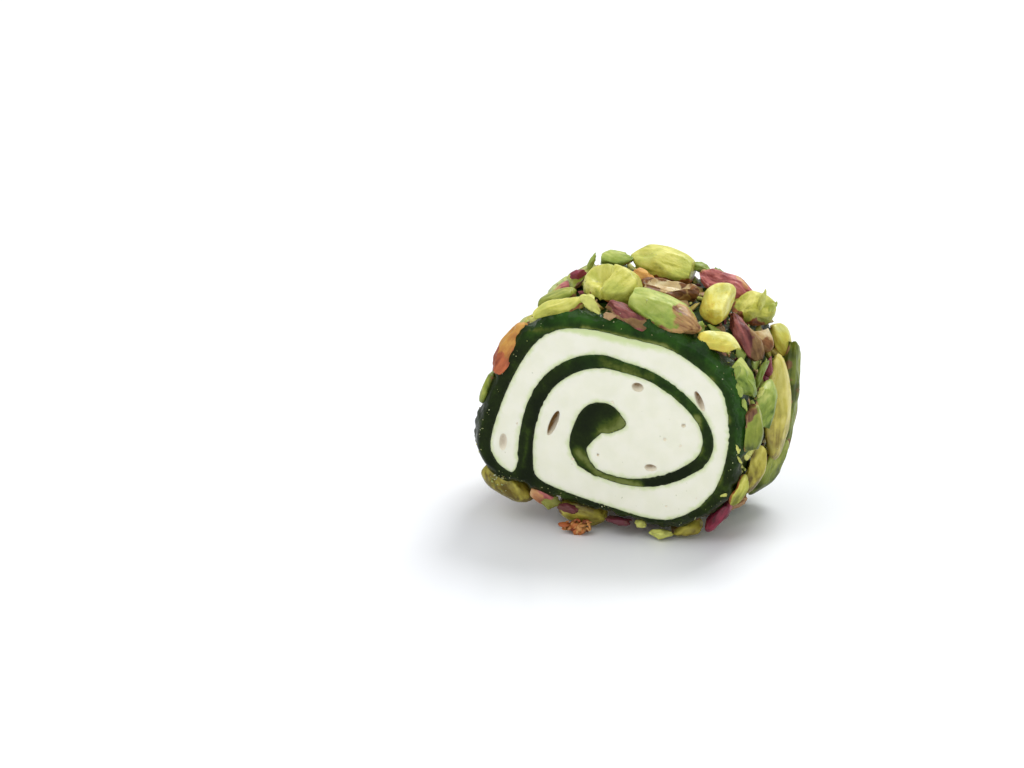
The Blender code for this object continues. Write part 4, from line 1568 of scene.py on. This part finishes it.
# The kernels that were laid one by one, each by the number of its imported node.
LAID_KERNELS: tuple[Kernel, ...] = (
    Kernel(
        1, Nut.LEMON, -0.1, (0.2, -0.4, -1.0), swell=1.13, move=(-0.2, 0.0, 0.1), ridges=0.04,
        cuts=(Cut(1.0, 0.0, -0.1, 0.74), Cut(-0.9, -0.2, -0.4, 0.86), Cut(0.25, -0.6, 0.75, 0.8)), soft=14,
        taper=(0.35, 0.05),
    ),
    Kernel(
        2, Nut.LEAF, 0.08, (1.0, -0.35, -0.45), swell=1.13, stretch=(1.0, 1.12, 1.0),
        move=(0.3, -0.3, -0.1), ridges=0.03,
        cuts=(Cut(-1.0, 0.0, 0.1, 0.7), Cut(0.05, -0.75, 0.65, 0.76), Cut(0.75, 0.3, 0.6, 0.8)),
        dents=(Dent(1.0, -0.5, 0.5, 0.9, 0.5), Dent(0.9, -0.6, -0.4, 0.8, 0.6)), soft=10, taper=(0.05, 0.2),
    ),
    Kernel(
        3, Nut.LEMON, -0.3, (-0.5, -0.6, -1.0), swell=1.1, stretch=(0.8, 1.45, 1.5), move=(0.1, 1.4, 0.3),
        ridges=0.03,
        cuts=(Cut(0.1, -0.55, 0.85, 0.74), Cut(1.0, 0.1, 0.3, 0.84), Cut(-0.4, -0.5, -0.8, 0.7)),
        crack=Cut(-1.0, 0.15, 0.0, 0.1), rim=0.5, bites=1,
        dents=(Dent(-0.55, -0.3, 0.8, 1.5, 2.8), Dent(-0.3, -1.0, -0.6, 1.3, 0.9)), soft=10,
        taper=(0.15, 0.1),
    ),
    Kernel(
        4, Nut.ROSE, 0.68, swell=1.1, stretch=(1.1, 1.1, 1.15), move=(0.8, 0.0, 0.1), wrinkles=0.3, chops=1,
        cuts=(Cut(0.1, -0.6, 0.8, 0.66),), rim=0.6, bites=9, taper=(0.5, 0.15),
    ),
    Kernel(
        5, Nut.BUTTER, -0.3, shade_to=(-0.6, -0.4, -0.8), swell=1.1, stretch=(1.2, 0.84, 1.45),
        move=(0.8, 0.0, 0.1), turn=-8.0, ridges=0.03,
        cuts=(
            Cut(-0.2, -0.4, 0.9, 0.74), Cut(-1.0, -0.1, 0.1, 0.76), Cut(1.0, -0.1, 0.0, 0.76),
            Cut(-0.2, -1.0, -0.3, 0.8),
        ), bites=1, soft=12, taper=(0.05, 0.05),
    ),
    Kernel(
        6, Nut.PLUM, 0.7, (-0.6, -0.2, 0.2), swell=1.14, stretch=(1.08, 0.9, 1.0), move=(0.5, 0.0, 0.1),
        wrinkles=0.24,
        cuts=(Cut(-1.0, -0.4, 0.2, 0.66), Cut(0.6, -0.8, 0.5, 0.66), Cut(0.4, -0.3, -1.0, 0.86)), bites=7,
        taper=(0.3, 0.35),
    ),
    Kernel(
        7, Nut.STRAW, -0.5, shade_to=(-0.2, -0.4, -0.9), swell=1.06, stretch=(1.06, 1.6, 1.15),
        move=(0.1, 0.0, -0.4), ridges=0.03, cuts=(Cut(0.75, -0.65, 0.1, 0.66),), rim=0.2, soft=8,
        taper=(0.4, 0.35),
    ),
    Kernel(
        8, Nut.MOSS, -0.2, swell=1.08, move=(0.0, 0.0, -1.9), turn=6.0, cuts=(Cut(0.8, -0.6, -0.2, 0.62),),
        soft=6, taper=(0.5, 0.4),
    ),
    Kernel(9, Nut.MOSS, swell=1.1, chops=2),
    Kernel(
        10, Nut.BUTTER, -0.3, shade_to=(-0.2, -0.6, -0.8), swell=1.14, stretch=(0.95, 0.86, 0.8),
        move=(0.7, -0.2, 0.35), turn=-26.0, ridges=0.03,
        cuts=(Cut(0.2, -0.5, 0.9, 0.62), Cut(0.1, -1.0, -0.1, 0.75), Cut(0.6, -0.2, -0.8, 0.62)), bites=1,
        taper=(0.0, 0.7),
    ),
    Kernel(
        11, Nut.BARK, 0.62, stretch=(1.08, 1.1, 1.45), move=(0.1, -0.2, 0.5), wrinkles=0.3, rim=0.1,
        bites=6, dents=(Dent(0.1, -0.9, 0.6, 1.4, 0.7), Dent(-0.6, -0.7, 0.5, 0.8, 0.6)), hollow=1.6,
    ),
    Kernel(
        12, Nut.LEAF, -0.4, shade_to=(0.2, -0.6, -0.8), swell=1.14, stretch=(0.95, 1.05, 0.75),
        move=(0.3, -0.4, 1.0),
        cuts=(Cut(0.0, -0.3, 1.0, 0.55), Cut(-1.0, 0.0, 0.2, 0.8), Cut(0.6, 0.4, 0.3, 0.8)), bites=4,
        soft=6, taper=(0.1, 0.5),
    ),
    Kernel(
        13, Nut.MOSS, 0.0, (1.0, -0.2, 0.2), stretch=(1.2, 1.05, 0.85), move=(-0.5, 0.0, 0.5), chops=2,
        cuts=(Cut(-0.4, -0.3, 1.0, 0.6), Cut(-0.8, -0.5, 0.3, 0.66)), bites=9, soft=2, taper=(0.3, 0.5),
    ),
    Kernel(
        14, Nut.MOSS, -0.1, (1.0, -0.2, -0.6), stretch=(0.85, 0.9, 0.9),
        cuts=(Cut(-0.35, -0.1, 1.0, 0.72), Cut(-0.3, -1.0, 0.2, 0.8), Cut(0.9, 0.0, 0.4, 0.85)),
        taper=(0.15, 0.2),
    ),
    Kernel(
        15, Nut.LEMON, -0.4, shade_to=(0.1, -0.2, -1.0), swell=1.14, stretch=(1.1, 1.0, 1.2),
        move=(0.0, -0.3, 0.3), cuts=(Cut(-0.3, -0.3, 1.0, 0.6), Cut(0.2, -1.0, -0.4, 0.72)), bites=1,
        dents=(Dent(0.1, 0.0, 1.0, 1.6, 0.5),), soft=8, taper=(0.55, 0.45),
    ),
    Kernel(
        16, Nut.PLUM, 0.3, (0.0, -0.1, 1.0), swell=1.16, stretch=(1.4, 1.3, 1.0), move=(0.9, 0.5, -0.1),
        turn=14.0, wrinkles=0.22, chops=2, cuts=(Cut(0.3, -0.9, 0.4, 0.7),), bites=6,
    ),
    Kernel(17, Nut.AMBER, stretch=(1.4, 1.3, 1.4), move=(0.3, 0.0, 0.6), wrinkles=0.2, chops=2),
    Kernel(
        18, Nut.LEMON, 0.0, (0.0, -0.2, -1.0), swell=1.14, stretch=(1.15, 1.1, 1.2), move=(0.3, 0.0, 0.5),
        chops=1, cuts=(Cut(-0.4, -0.5, 0.8, 0.66), Cut(0.9, -0.4, 0.5, 0.7), Cut(0.2, -0.3, -1.0, 0.75)),
        taper=(0.1, 0.5),
    ),
    Kernel(19, Nut.BARK, 0.4, move=(0.6, 0.0, -0.1), chops=1, cuts=(Cut(0.6, -0.6, 0.5, 0.66),)),
    Kernel(
        20, Nut.BUTTER, -0.1, swell=1.1, move=(0.4, 0.0, 0.2),
        cuts=(Cut(0.7, -0.4, 0.6, 0.66), Cut(-0.3, 0.0, 1.0, 0.8), Cut(0.2, -1.0, -0.2, 0.8)),
    ),
    Kernel(
        21, Nut.LEAF, -0.4, swell=1.16, move=(0.1, -0.1, 0.2), chops=1,
        cuts=(Cut(0.5, -0.8, 0.3, 0.42), Cut(-0.8, 0.0, 0.7, 0.8), Cut(-0.3, -0.3, -0.9, 0.8)), bites=5,
        dents=(Dent(-0.4, -0.5, -0.8, 1.2, 1.0), Dent(1.0, 0.0, 0.4, 0.8, 0.7)), soft=1, taper=(0.1, 0.4),
    ),
    Kernel(
        22, Nut.LEAF, -0.3, stretch=(1.1, 1.15, 1.25), move=(0.7, 0.0, 0.0), chops=1,
        cuts=(Cut(0.7, -0.8, 0.1, 0.42), Cut(0.0, 0.8, -0.8, 0.8), Cut(-0.5, -0.2, -0.8, 0.7)), bites=4,
        soft=1, taper=(0.1, 0.4),
    ),
    Kernel(
        23, Nut.MOSS, -0.1, (-0.3, -0.3, 1.0), stretch=(0.9, 1.05, 1.2), move=(0.3, -0.3, 0.5),
        cuts=(Cut(0.7, -0.8, 0.1, 0.45), Cut(0.2, -0.3, -1.0, 0.8), Cut(-0.4, -0.3, 0.9, 0.8)), bites=4,
        soft=2, sink=0.1,
    ),
    Kernel(
        24, Nut.OLIVE, -0.3, stretch=(1.0, 0.9, 1.0), move=(0.7, 0.0, -0.1),
        cuts=(Cut(0.7, -0.8, 0.1, 0.5), Cut(-0.6, -0.5, -0.4, 0.75)), soft=3, taper=(0.4, 0.2),
    ),
    Kernel(25, Nut.OLIVE, swell=1.1, chops=2),
    Kernel(
        26, Nut.LEMON, -0.4, swell=1.1, cuts=(Cut(0.7, -0.8, -0.2, 0.6),),
        dents=(Dent(-0.7, -0.5, 0.6, 1.0, 0.7),), soft=5, taper=(0.5, 0.5), sink=0.1,
    ),
    Kernel(
        27, Nut.MOSS, 0.3, shade_to=(0.2, -1.0, 0.0), swell=1.06, stretch=(2.3, 1.0, 0.9),
        move=(0.3, 0.0, 0.8), wrinkles=0.12, bites=8, soft=3, taper=(0.3, 0.3),
    ),
    Kernel(28, Nut.BARK, 0.6, chops=1),
    Kernel(
        29, Nut.WINE, 0.9, swell=1.0, stretch=(1.05, 0.85, 0.75), move=(0.3, 0.0, 0.1), turn=-10.0,
        ridges=0.05, cuts=(Cut(0.3, -0.8, 0.0, 0.8),), soft=8,
    ),
    Kernel(30, Nut.MOSS, 0.2, swell=1.1, chops=2),
    Kernel(31, Nut.OLIVE, swell=1.08, stretch=(0.8, 1.0, 0.9), move=(1.7, 1.2, 0.2), turn=-12.0),
    Kernel(32, Nut.LEMON, swell=1.08, chops=1),
    Kernel(33, Nut.OLIVE, -0.2, (-1.0, 0.0, 0.4), swell=1.05, rim=0.05),
    Kernel(34, Nut.ROSE, 0.5, swell=1.1, wrinkles=0.15, chops=1),
    Kernel(
        35, Nut.OLIVE, -0.45, shade_to=(-0.3, -0.5, -0.6), swell=1.1, stretch=(1.05, 1.0, 1.25),
        move=(0.2, 0.0, -0.5), turn=13.0, chops=1, rim=0.05,
    ),
    Kernel(36, Nut.WINE, 0.9, swell=1.05),
    Kernel(37, Nut.MOSS, swell=1.05),
    Kernel(38, Nut.OLIVE, swell=1.05),
    Kernel(
        39, Nut.AMBER, 0.42, (-0.6, 0.0, -0.9), stretch=(1.05, 1.15, 1.35), move=(0.9, -1.3, 0.5),
        ridges=0.16, wrinkles=0.1, cuts=(Cut(0.1, -1.0, 0.1, 0.45), Cut(-0.6, -0.6, 0.5, 0.7)), bites=5,
        taper=(0.0, 0.1),
    ),
    Kernel(40, Nut.MOSS, 0.0, swell=1.1, move=(-0.45, -0.4, 0.0), chops=1),
    Kernel(41, Nut.ROSE, 0.6, swell=1.1, move=(1.2, 3.0, 1.0), chops=1),
    Kernel(42, Nut.LEAF, chops=2),
    Kernel(43, Nut.OLIVE, chops=2),
)


@dataclass
class Coating:
    """All pistachio kernels of the coating."""

    middle: Vector
    laid: tuple[Kernel, ...] = LAID_KERNELS
    others: tuple[Nut, ...] = (Nut.LEAF, Nut.LEMON, Nut.MOSS, Nut.PLUM, Nut.STRAW, Nut.OLIVE, Nut.BARK)
    deep: tuple[tuple[int, float], ...] = ((44, 1.6), (48, 1.0), (54, 2.4))  # the sunk ones, in mm

    def build(self, nodes: Iterable[str]) -> list[Shape]:
        """Builds a kernel for each packed one.

        Args:
            nodes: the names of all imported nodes.

        Returns:
            The kernels.
        """
        finishes = {nut: nut.value.make() for nut in Nut}
        count = sum(1 for node in nodes if node.startswith("kernel_"))
        kernels = list(self.laid)
        for number in range(len(kernels) + 1, count + 1):
            nut = self.others[number % len(self.others)]
            skinned = nut in (Nut.PLUM, Nut.BARK)
            kernels.append(
                Kernel(
                    number,
                    nut,
                    0.7 if skinned else 0.0,
                    wrinkles=0.15 if skinned else 0.0,
                    swell=1.13,
                    chops=3,
                    sink=dict(self.deep).get(number, Kernel.sink),
                )
            )
        return [kernel.build(self.middle, finishes[kernel.nut]) for kernel in kernels]

def broken_bit(
    number: int, chance: random.Random, chops: int, fineness: int, rounds: int = 0
) -> bpy.types.Mesh:
    """Breaks one small bit out of a ball.

    Args:
        number: shifts its dents, so that bits differ.
        chance: the source of the places of its flat faces.
        chops: how many flat faces it has.
        fineness: subdivisions of the ball.
        rounds: how often the broken shape is subdivided and rounded.

    Returns:
        A closed mesh about 1 long, with the attribute "tone" that its finish reads.
    """
    form = bmesh.new()
    bmesh.ops.create_icosphere(form, subdivisions=fineness, radius=0.5)
    for _ in range(chops):
        way = Vector((chance.uniform(-1, 1), chance.uniform(-1, 1), chance.uniform(-0.8, 0.8))).normalized()
        chop(form, way * chance.uniform(0.2, 0.36), way)
    bmesh.ops.triangulate(form, faces=form.faces)
    for _ in range(rounds):
        refine(form)
    form.normal_update()
    shift = Vector((number, 0.0, 0.0))
    for vert in form.verts:
        lump = noise.noise(vert.co * 4.0 + shift) * 0.12 + noise.noise(vert.co * 11.0 + shift) * 0.05
        vert.co += vert.normal * lump
    bmesh.ops.triangulate(form, faces=form.faces)
    mesh = bpy.data.meshes.new("bit")
    form.to_mesh(mesh)
    form.free()
    mesh.attributes.new("tone", "FLOAT", "POINT")
    return mesh


def join_bit(form: bmesh.types.BMesh, bit: bpy.types.Mesh, place: Matrix, tone: float) -> None:
    """Adds a copy of a bit to a bmesh.

    Args:
        form: the bmesh that takes it.
        bit: the mesh that is copied.
        place: turns, scales and moves the copy.
        tone: where its colour lies on its finish's range, from 0 to 1.
    """
    copy = bit.copy()
    copy.transform(place)
    copy.attributes["tone"].data.foreach_set("value", [tone] * len(copy.vertices))
    form.from_mesh(copy)
    bpy.data.meshes.remove(copy)


def bits_piece(name: str, form: bmesh.types.BMesh, finish: ChipFinish) -> Shape:
    """Turns joined bits into a piece that stays above the ground and between the two reaches.

    Args:
        name: the piece's name.
        form: the joined bits, which are freed.
        finish: their finish.

    Returns:
        The piece.
    """
    for vert in form.verts:
        vert.co.z = max(vert.co.z, GROUND_GAP)
        vert.co.y = min(max(vert.co.y, FRONT_REACH), BACK_REACH)
    return dress(new_object(name, form), [finish.make()])


@dataclass
class Scatter:
    """Small bits of one kind, strewn on what is bare between the kernels and joined into one piece."""

    name: str
    slot: Slot
    finish: ChipFinish
    seed: int
    tries: int
    length: tuple[float, float]  # mm
    slimness: tuple[float, float]
    flatness: tuple[float, float]
    chops: int = 3
    fineness: int = 2  # subdivisions of the ball that each bit starts from
    lift: float = 0.3  # how much of its height stands above the jelly
    crowding: float = 0.6  # how near the next nut may be, as a share of its length
    clear: float = 3.6  # mm behind the front cut that it leaves bare
    clear_behind: float = 0.5  # mm before the back cut
    spacing: float = 0.34  # how near two bits may be, as a share of their lengths' sum
    prototypes: int = 10

    def build(self, roll: Roll, middle: Vector, ground: BVHTree, nuts: BVHTree) -> Shape:
        """Strews the bits.

        Args:
            roll: the roll, for the cuts' places.
            middle: the middle of its face.
            ground: the jelly's surface.
            nuts: the kernels' surfaces.

        Returns:
            The piece.
        """
        chance = random.Random(self.seed)
        bits = [broken_bit(number, chance, self.chops, self.fineness) for number in range(self.prototypes)]
        form = bmesh.new()
        laid: list[tuple[Vector, float]] = []
        for _ in range(self.tries):
            around = chance.uniform(0.0, math.tau)
            depth = chance.uniform(roll.front + self.clear * MM, roll.back - self.clear_behind * MM)
            length = chance.uniform(*self.length) * MM
            slim, flat = chance.uniform(*self.slimness), chance.uniform(*self.flatness)
            turn, tilt, tone = chance.uniform(0.0, math.tau), chance.gauss(0.0, 0.35), chance.random()
            bit = chance.choice(bits)
            way = Vector((math.cos(around), 0.0, math.sin(around)))
            start = Vector((middle.x, depth, middle.z)) + way * WELL_OUTSIDE
            place, normal, _, far = ground.ray_cast(start, -way)
            if place is None or (nuts.ray_cast(start, -way)[3] or far) < far:
                continue
            if nuts.find_nearest(place)[3] < self.crowding * length * 0.5 * slim:
                continue
            if any((place - other).length < self.spacing * (length + size) for other, size in laid):
                continue
            laid.append((place, length))
            turned = normal.to_track_quat("Z", "Y").to_matrix().to_4x4()
            shape = Matrix.Diagonal((length, length * slim, length * flat, 1.0))
            spin = Matrix.Rotation(turn, 4, "Z") @ Matrix.Rotation(tilt, 4, "Y")
            raised = Matrix.Translation(place + normal * length * flat * self.lift)
            join_bit(form, bit, raised @ turned @ spin @ shape, tone)
        log.info("%s: %d bits", self.name, len(laid))
        return bits_piece(self.name, form, self.finish)


SCATTERS = (
    Scatter(
        "chopped_pistachio", Slot.GREEN, CHOPPED_FLESH, 21, 3500, (2.0, 4.2), (0.4, 0.75), (0.2, 0.4),
        chops=5, lift=0.1,
    ),
    Scatter(
        "papery_skins", Slot.PURPLE, PAPERY_SKIN, 22, 2000, (1.6, 3.6), (0.4, 0.7), (0.1, 0.2),
        chops=4, lift=0.1, crowding=0.2,
    ),
    Scatter(
        "pistachio_crumbs", Slot.TAN, NUT_CRUMB, 23, 2200, (0.2, 0.8), (0.5, 0.9), (0.4, 0.8),
        chops=2, fineness=1, crowding=0.1, clear=2.4,
    ),
)


@dataclass
class Specks:
    """Fine pale crumbs that cling to the jelly's edge on the front cut, and dust that lies on the nuts; both
    also stand in for small painted glints.
    """

    seed: int = 31
    on_edge: int = 120
    on_nuts: int = 160
    band: float = 1.2  # mm from the jelly's outer edge that the crumbs reach
    size: tuple[float, float] = (0.1, 0.27)  # mm
    upper_right: float = 0.25  # how many of them the upper right edge keeps, where the roll is clean
    left: float = 10.0  # mm left of the middle where the upper left edge starts
    ahead: float = 5.0  # mm before the front cut, from where they are dropped on it

    def build(self, roll: Roll, middle: Vector, ground: BVHTree, nuts: BVHTree) -> Shape:
        """Strews the specks.

        Args:
            roll: the roll, for its outline.
            middle: the middle of its face.
            ground: the jelly's surface.
            nuts: the kernels' surfaces.

        Returns:
            The piece.
        """
        chance = random.Random(self.seed)
        bits = [broken_bit(number, chance, 2, 1) for number in range(6)]
        form = bmesh.new()
        for number in range(self.on_edge + self.on_nuts):
            size, tone = chance.uniform(*self.size) * MM, chance.random()
            if number < self.on_edge:
                point = chance.choice(roll.skin)
                inwards = Vector((middle.x - point.x, 0.0, middle.z - point.z)).normalized()
                start = point + inwards * chance.uniform(0.2, self.band) * MM
                start.y = roll.front - self.ahead * MM
                crumbly = point.z < middle.z or point.x < middle.x - self.left * MM
                wanted = 1.0 if crumbly else self.upper_right
                way, surface = Vector((0.0, 1.0, 0.0)), ground
            else:
                around = chance.uniform(0.0, math.tau)
                way = -Vector((math.cos(around), 0.0, math.sin(around)))
                depth = chance.uniform(roll.front, roll.back)
                start = Vector((middle.x, depth, middle.z)) - way * WELL_OUTSIDE
                wanted, surface = 1.0, nuts
            place, normal, _, _ = surface.ray_cast(start, way)
            if place is None or chance.random() > wanted:
                continue
            spin = Matrix.Rotation(chance.uniform(0.0, math.tau), 4, normal)
            shape = Matrix.Diagonal((size, size * 0.8, size * 0.7, 1.0))
            join_bit(form, chance.choice(bits), Matrix.Translation(place) @ spin @ shape, tone)
        return bits_piece("fine_specks", form, SPECK)


@dataclass(frozen=True)
class Bit:
    """One small bit that is laid by itself: its place and size in mm, its turn and its tone."""

    place: Triple
    size: Triple
    turn: float = 0.0  # degrees clockwise, seen from the front
    tone: float = 0.5


@dataclass
class LaidBits:
    """Small bits of one kind at known places."""

    name: str
    slot: Slot
    finish: ChipFinish
    bits: tuple[Bit, ...]
    seed: int = 5

    def build(self) -> Shape:
        """Lays the bits and joins them."""
        chance = random.Random(self.seed)
        form = bmesh.new()
        for number, bit in enumerate(self.bits):
            mesh = broken_bit(number + 40, chance, 4, 3, 1)
            turn = Matrix.Rotation(math.radians(bit.turn), 4, "Y")
            shape = Matrix.Diagonal((*(Vector(bit.size) * MM), 1.0))
            join_bit(form, mesh, Matrix.Translation(Vector(bit.place) * MM) @ turn @ shape, bit.tone)
        return bits_piece(self.name, form, self.finish)


@dataclass
class Heap:
    """A little heap of crumbs of one kind, each turned its own way."""

    name: str
    slot: Slot
    finish: ChipFinish
    place: Triple  # mm
    spread: Triple  # mm, half the heap's size
    count: int
    size: tuple[float, float]  # mm
    flat: float = 0.5  # their thickness as a share of their length
    seed: int = 3

    def build(self) -> Shape:
        """Heaps the crumbs and joins them."""
        chance = random.Random(self.seed)
        bits = [broken_bit(number, chance, 3, 2) for number in range(8)]
        form = bmesh.new()
        for _ in range(self.count):
            away = Vector([chance.uniform(-1.0, 1.0) * half for half in self.spread])
            size, tone = chance.uniform(*self.size) * MM, chance.random()
            upwards = Vector([chance.uniform(-1.0, 1.0) for _ in range(3)])
            turn = upwards.to_track_quat("Z", "Y").to_matrix().to_4x4()
            shape = Matrix.Diagonal((size, size * chance.uniform(0.5, 0.8), size * self.flat, 1.0))
            place = Matrix.Translation((Vector(self.place) + away) * MM)
            join_bit(form, chance.choice(bits), place @ turn @ shape, tone)
        return bits_piece(self.name, form, self.finish)


HEAPS = (
    Heap("toasted_crumbs", Slot.TAN, TOASTED, (-4.4, -12.2, 1.1), (1.9, 0.6, 0.9), 52, (0.7, 1.9), 0.28),
    Heap("pale_crumbs", Slot.YELLOW, SPECK, (-16.5, -12.0, 6.6), (1.4, 0.4, 1.3), 40, (0.12, 0.6), 0.5, 8),
)

LAID_BITS = (
    LaidBits(
        "laid_pistachio_bits",
        Slot.YELLOW,
        CHOPPED_FLESH,
        (
            Bit((-2.6, -11.4, 34.8), (4.0, 1.8, 2.0), 34.0, 0.1),
            Bit((4.7, -11.4, 2.2), (1.8, 2.0, 1.2), 10.0, 0.1),
            Bit((7.9, -11.6, 1.1), (3.6, 2.3, 1.4), 4.0, 0.15),
            Bit((-8.7, -11.4, 4.1), (3.1, 2.2, 2.3), 30.0, 0.72),
            Bit((-6.9, 3.0, 36.0), (0.9, 1.2, 3.4), 22.0, 0.4),
            Bit((17.1, -12.1, 8.1), (1.5, 0.8, 0.8), -30.0, 0.15),
            Bit((20.6, -4.6, 24.2), (1.2, 2.2, 5.2), 18.0, 0.6),
            Bit((19.2, -12.2, 15.6), (0.6, 0.8, 1.8), -14.0, 0.1),
            Bit((19.5, -12.2, 13.8), (0.5, 0.8, 1.2), -34.0, 0.15),
            Bit((18.0, 5.6, 32.0), (1.0, 1.6, 3.6), 12.0, 0.15),
            Bit((19.0, 7.4, 30.4), (1.0, 1.6, 2.6), 40.0, 0.3),
            Bit((7.6, 11.0, 34.4), (4.4, 2.4, 1.6), 14.0, 0.5),
            Bit((10.0, 10.6, 33.8), (3.6, 2.4, 1.4), 24.0, 0.6),
            Bit((18.8, -12.0, 26.8), (1.0, 0.9, 2.2), 20.0, 0.5),
            Bit((19.2, -12.0, 24.2), (1.0, 0.9, 2.0), -20.0, 0.45),
            Bit((20.0, -12.0, 22.0), (0.8, 0.9, 1.9), -10.0, 0.4),
            Bit((19.7, -8.4, 14.0), (1.0, 1.2, 1.9), -20.0, 0.15),
            Bit((21.0, -6.6, 22.2), (0.9, 1.4, 1.8), 25.0, 0.15),
        ),
    ),
    LaidBits(
        "laid_skin_bits",
        Slot.PURPLE,
        PAPERY_SKIN,
        (
            Bit((20.8, -0.6, 24.0), (1.4, 2.4, 3.2), 12.0, 0.1),
            Bit((20.9, -2.6, 21.6), (1.0, 2.2, 3.6), -6.0, 0.2),
            Bit((-7.9, -0.4, 35.3), (2.6, 1.8, 1.5), -16.0, 0.0),
            Bit((0.2, -12.4, 33.5), (2.2, 1.2, 1.1), 10.0, 0.85),
            Bit((-5.9, -11.9, 3.6), (3.3, 1.7, 1.4), 8.0, 0.3),
            Bit((17.6, -5.4, 4.6), (3.4, 2.4, 1.5), -38.0, 0.75),
            Bit((1.8, -11.2, 2.3), (4.6, 2.0, 1.0), 4.0, 0.25),
        ),
    ),
    LaidBits(
        "red_brown_crumbs",
        Slot.TAN,
        TOASTED,
        (
            Bit((22.0, 7.6, 16.6), (0.8, 1.4, 1.8), 0.0, 0.1),
            Bit((-11.6, 3.4, 31.9), (1.4, 1.4, 1.1), 0.0, 0.3),
        ),
    ),
)


# ---------------------------------------------------------------- studio


@dataclass
class Studio:
    """A white table under soft light, and the camera."""

    eye: Triple = (176.8, -648.3, 250.9)  # mm
    aim: Triple = (-13.6, -14.5, 22.7)  # mm
    lens: float = 172.3  # mm
    sensor: float = 36.0  # mm wide
    floor_size: float = 6.0  # metres
    sky: float = 0.62
    lit: Triple = (0.0, 0.0, 17.0)  # mm, what the lights are turned to

    def build(self) -> None:
        """Sets up the floor, the light and the camera."""
        self._camera()
        self._floor()
        self._world()
        self._softbox("key_light", (-260.0, -460.0, 640.0), 480.0, 1.3)
        self._softbox("back_light", (120.0, 420.0, 640.0), 320.0, 3.6)
        self._softbox("fill_light", (300.0, -680.0, 260.0), 500.0, 0.85)

    def _camera(self) -> None:
        """Places the camera."""
        data = bpy.data.cameras.new("camera")
        data.lens = self.lens
        data.sensor_width = self.sensor
        data.clip_start = 0.01
        camera = bpy.data.objects.new("camera", data)
        bpy.context.scene.collection.objects.link(camera)
        eye, aim = Vector(self.eye) * MM, Vector(self.aim) * MM
        camera.location = eye
        camera.rotation_euler = (aim - eye).to_track_quat("-Z", "Y").to_euler()
        bpy.context.scene.camera = camera

    def _floor(self) -> None:
        """Lays the table under the slice."""
        form = bmesh.new()
        bmesh.ops.create_grid(form, x_segments=8, y_segments=8, size=self.floor_size / 2.0)
        floor = new_object("table_top", form)
        floor.data.materials.append(FloorFinish().make())

    def _world(self) -> None:
        """Fills the room with even white light."""
        world = bpy.data.worlds.new("white_room")
        world.use_nodes = True
        back = world.node_tree.nodes["Background"]
        back.inputs["Color"].default_value = (1.0, 1.0, 1.0, 1.0)
        back.inputs["Strength"].default_value = self.sky
        bpy.context.scene.world = world
        bpy.context.scene.view_settings.view_transform = "Standard"

    def _softbox(self, name: str, place: Triple, size: float, power: float) -> None:
        """Hangs a square soft light that faces the slice.

        Args:
            name: the light's name.
            place: where it hangs, in mm.
            size: the length of its side, in mm.
            power: its power in watts.
        """
        data = bpy.data.lights.new(name, "AREA")
        data.size = size * MM
        data.energy = power
        light = bpy.data.objects.new(name, data)
        bpy.context.scene.collection.objects.link(light)
        light.location = Vector(place) * MM
        light.rotation_euler = (Vector(self.lit) - Vector(place)).to_track_quat("-Z", "Y").to_euler()


def main() -> None:
    """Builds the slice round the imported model."""
    logging.basicConfig(level=logging.INFO, format="%(message)s")
    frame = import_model()
    Studio().build()
    roll = Roll()
    middle = Vector((FACE_MIDDLE[0], roll.front, FACE_MIDDLE[1]))
    kernels = Coating(middle).build(frame["nodes"])
    log.info("kernels: %d", len(kernels))
    nuts = surface_tree(kernels)
    jelly = Jelly(roll, middle)
    room = jelly.torn(roll.room)
    sheet = jelly.build(room, nuts, JellyFinish())
    log.info("jelly: %d faces", len(sheet.data.polygons))
    filling = Nougat(roll, middle).build(room, NougatFinish(), BubbleFinish())
    log.info("nougat: %d faces", len(filling.data.polygons))
    ground = surface_tree([sheet])
    for scatter in SCATTERS:
        scatter.build(roll, middle, ground, nuts)
    Specks().build(roll, middle, ground, nuts)
    for bits in (*LAID_BITS, *HEAPS):
        log.info("%s: %d faces", bits.name, len(bits.build().data.polygons))


if __name__ == "__main__":
    main()
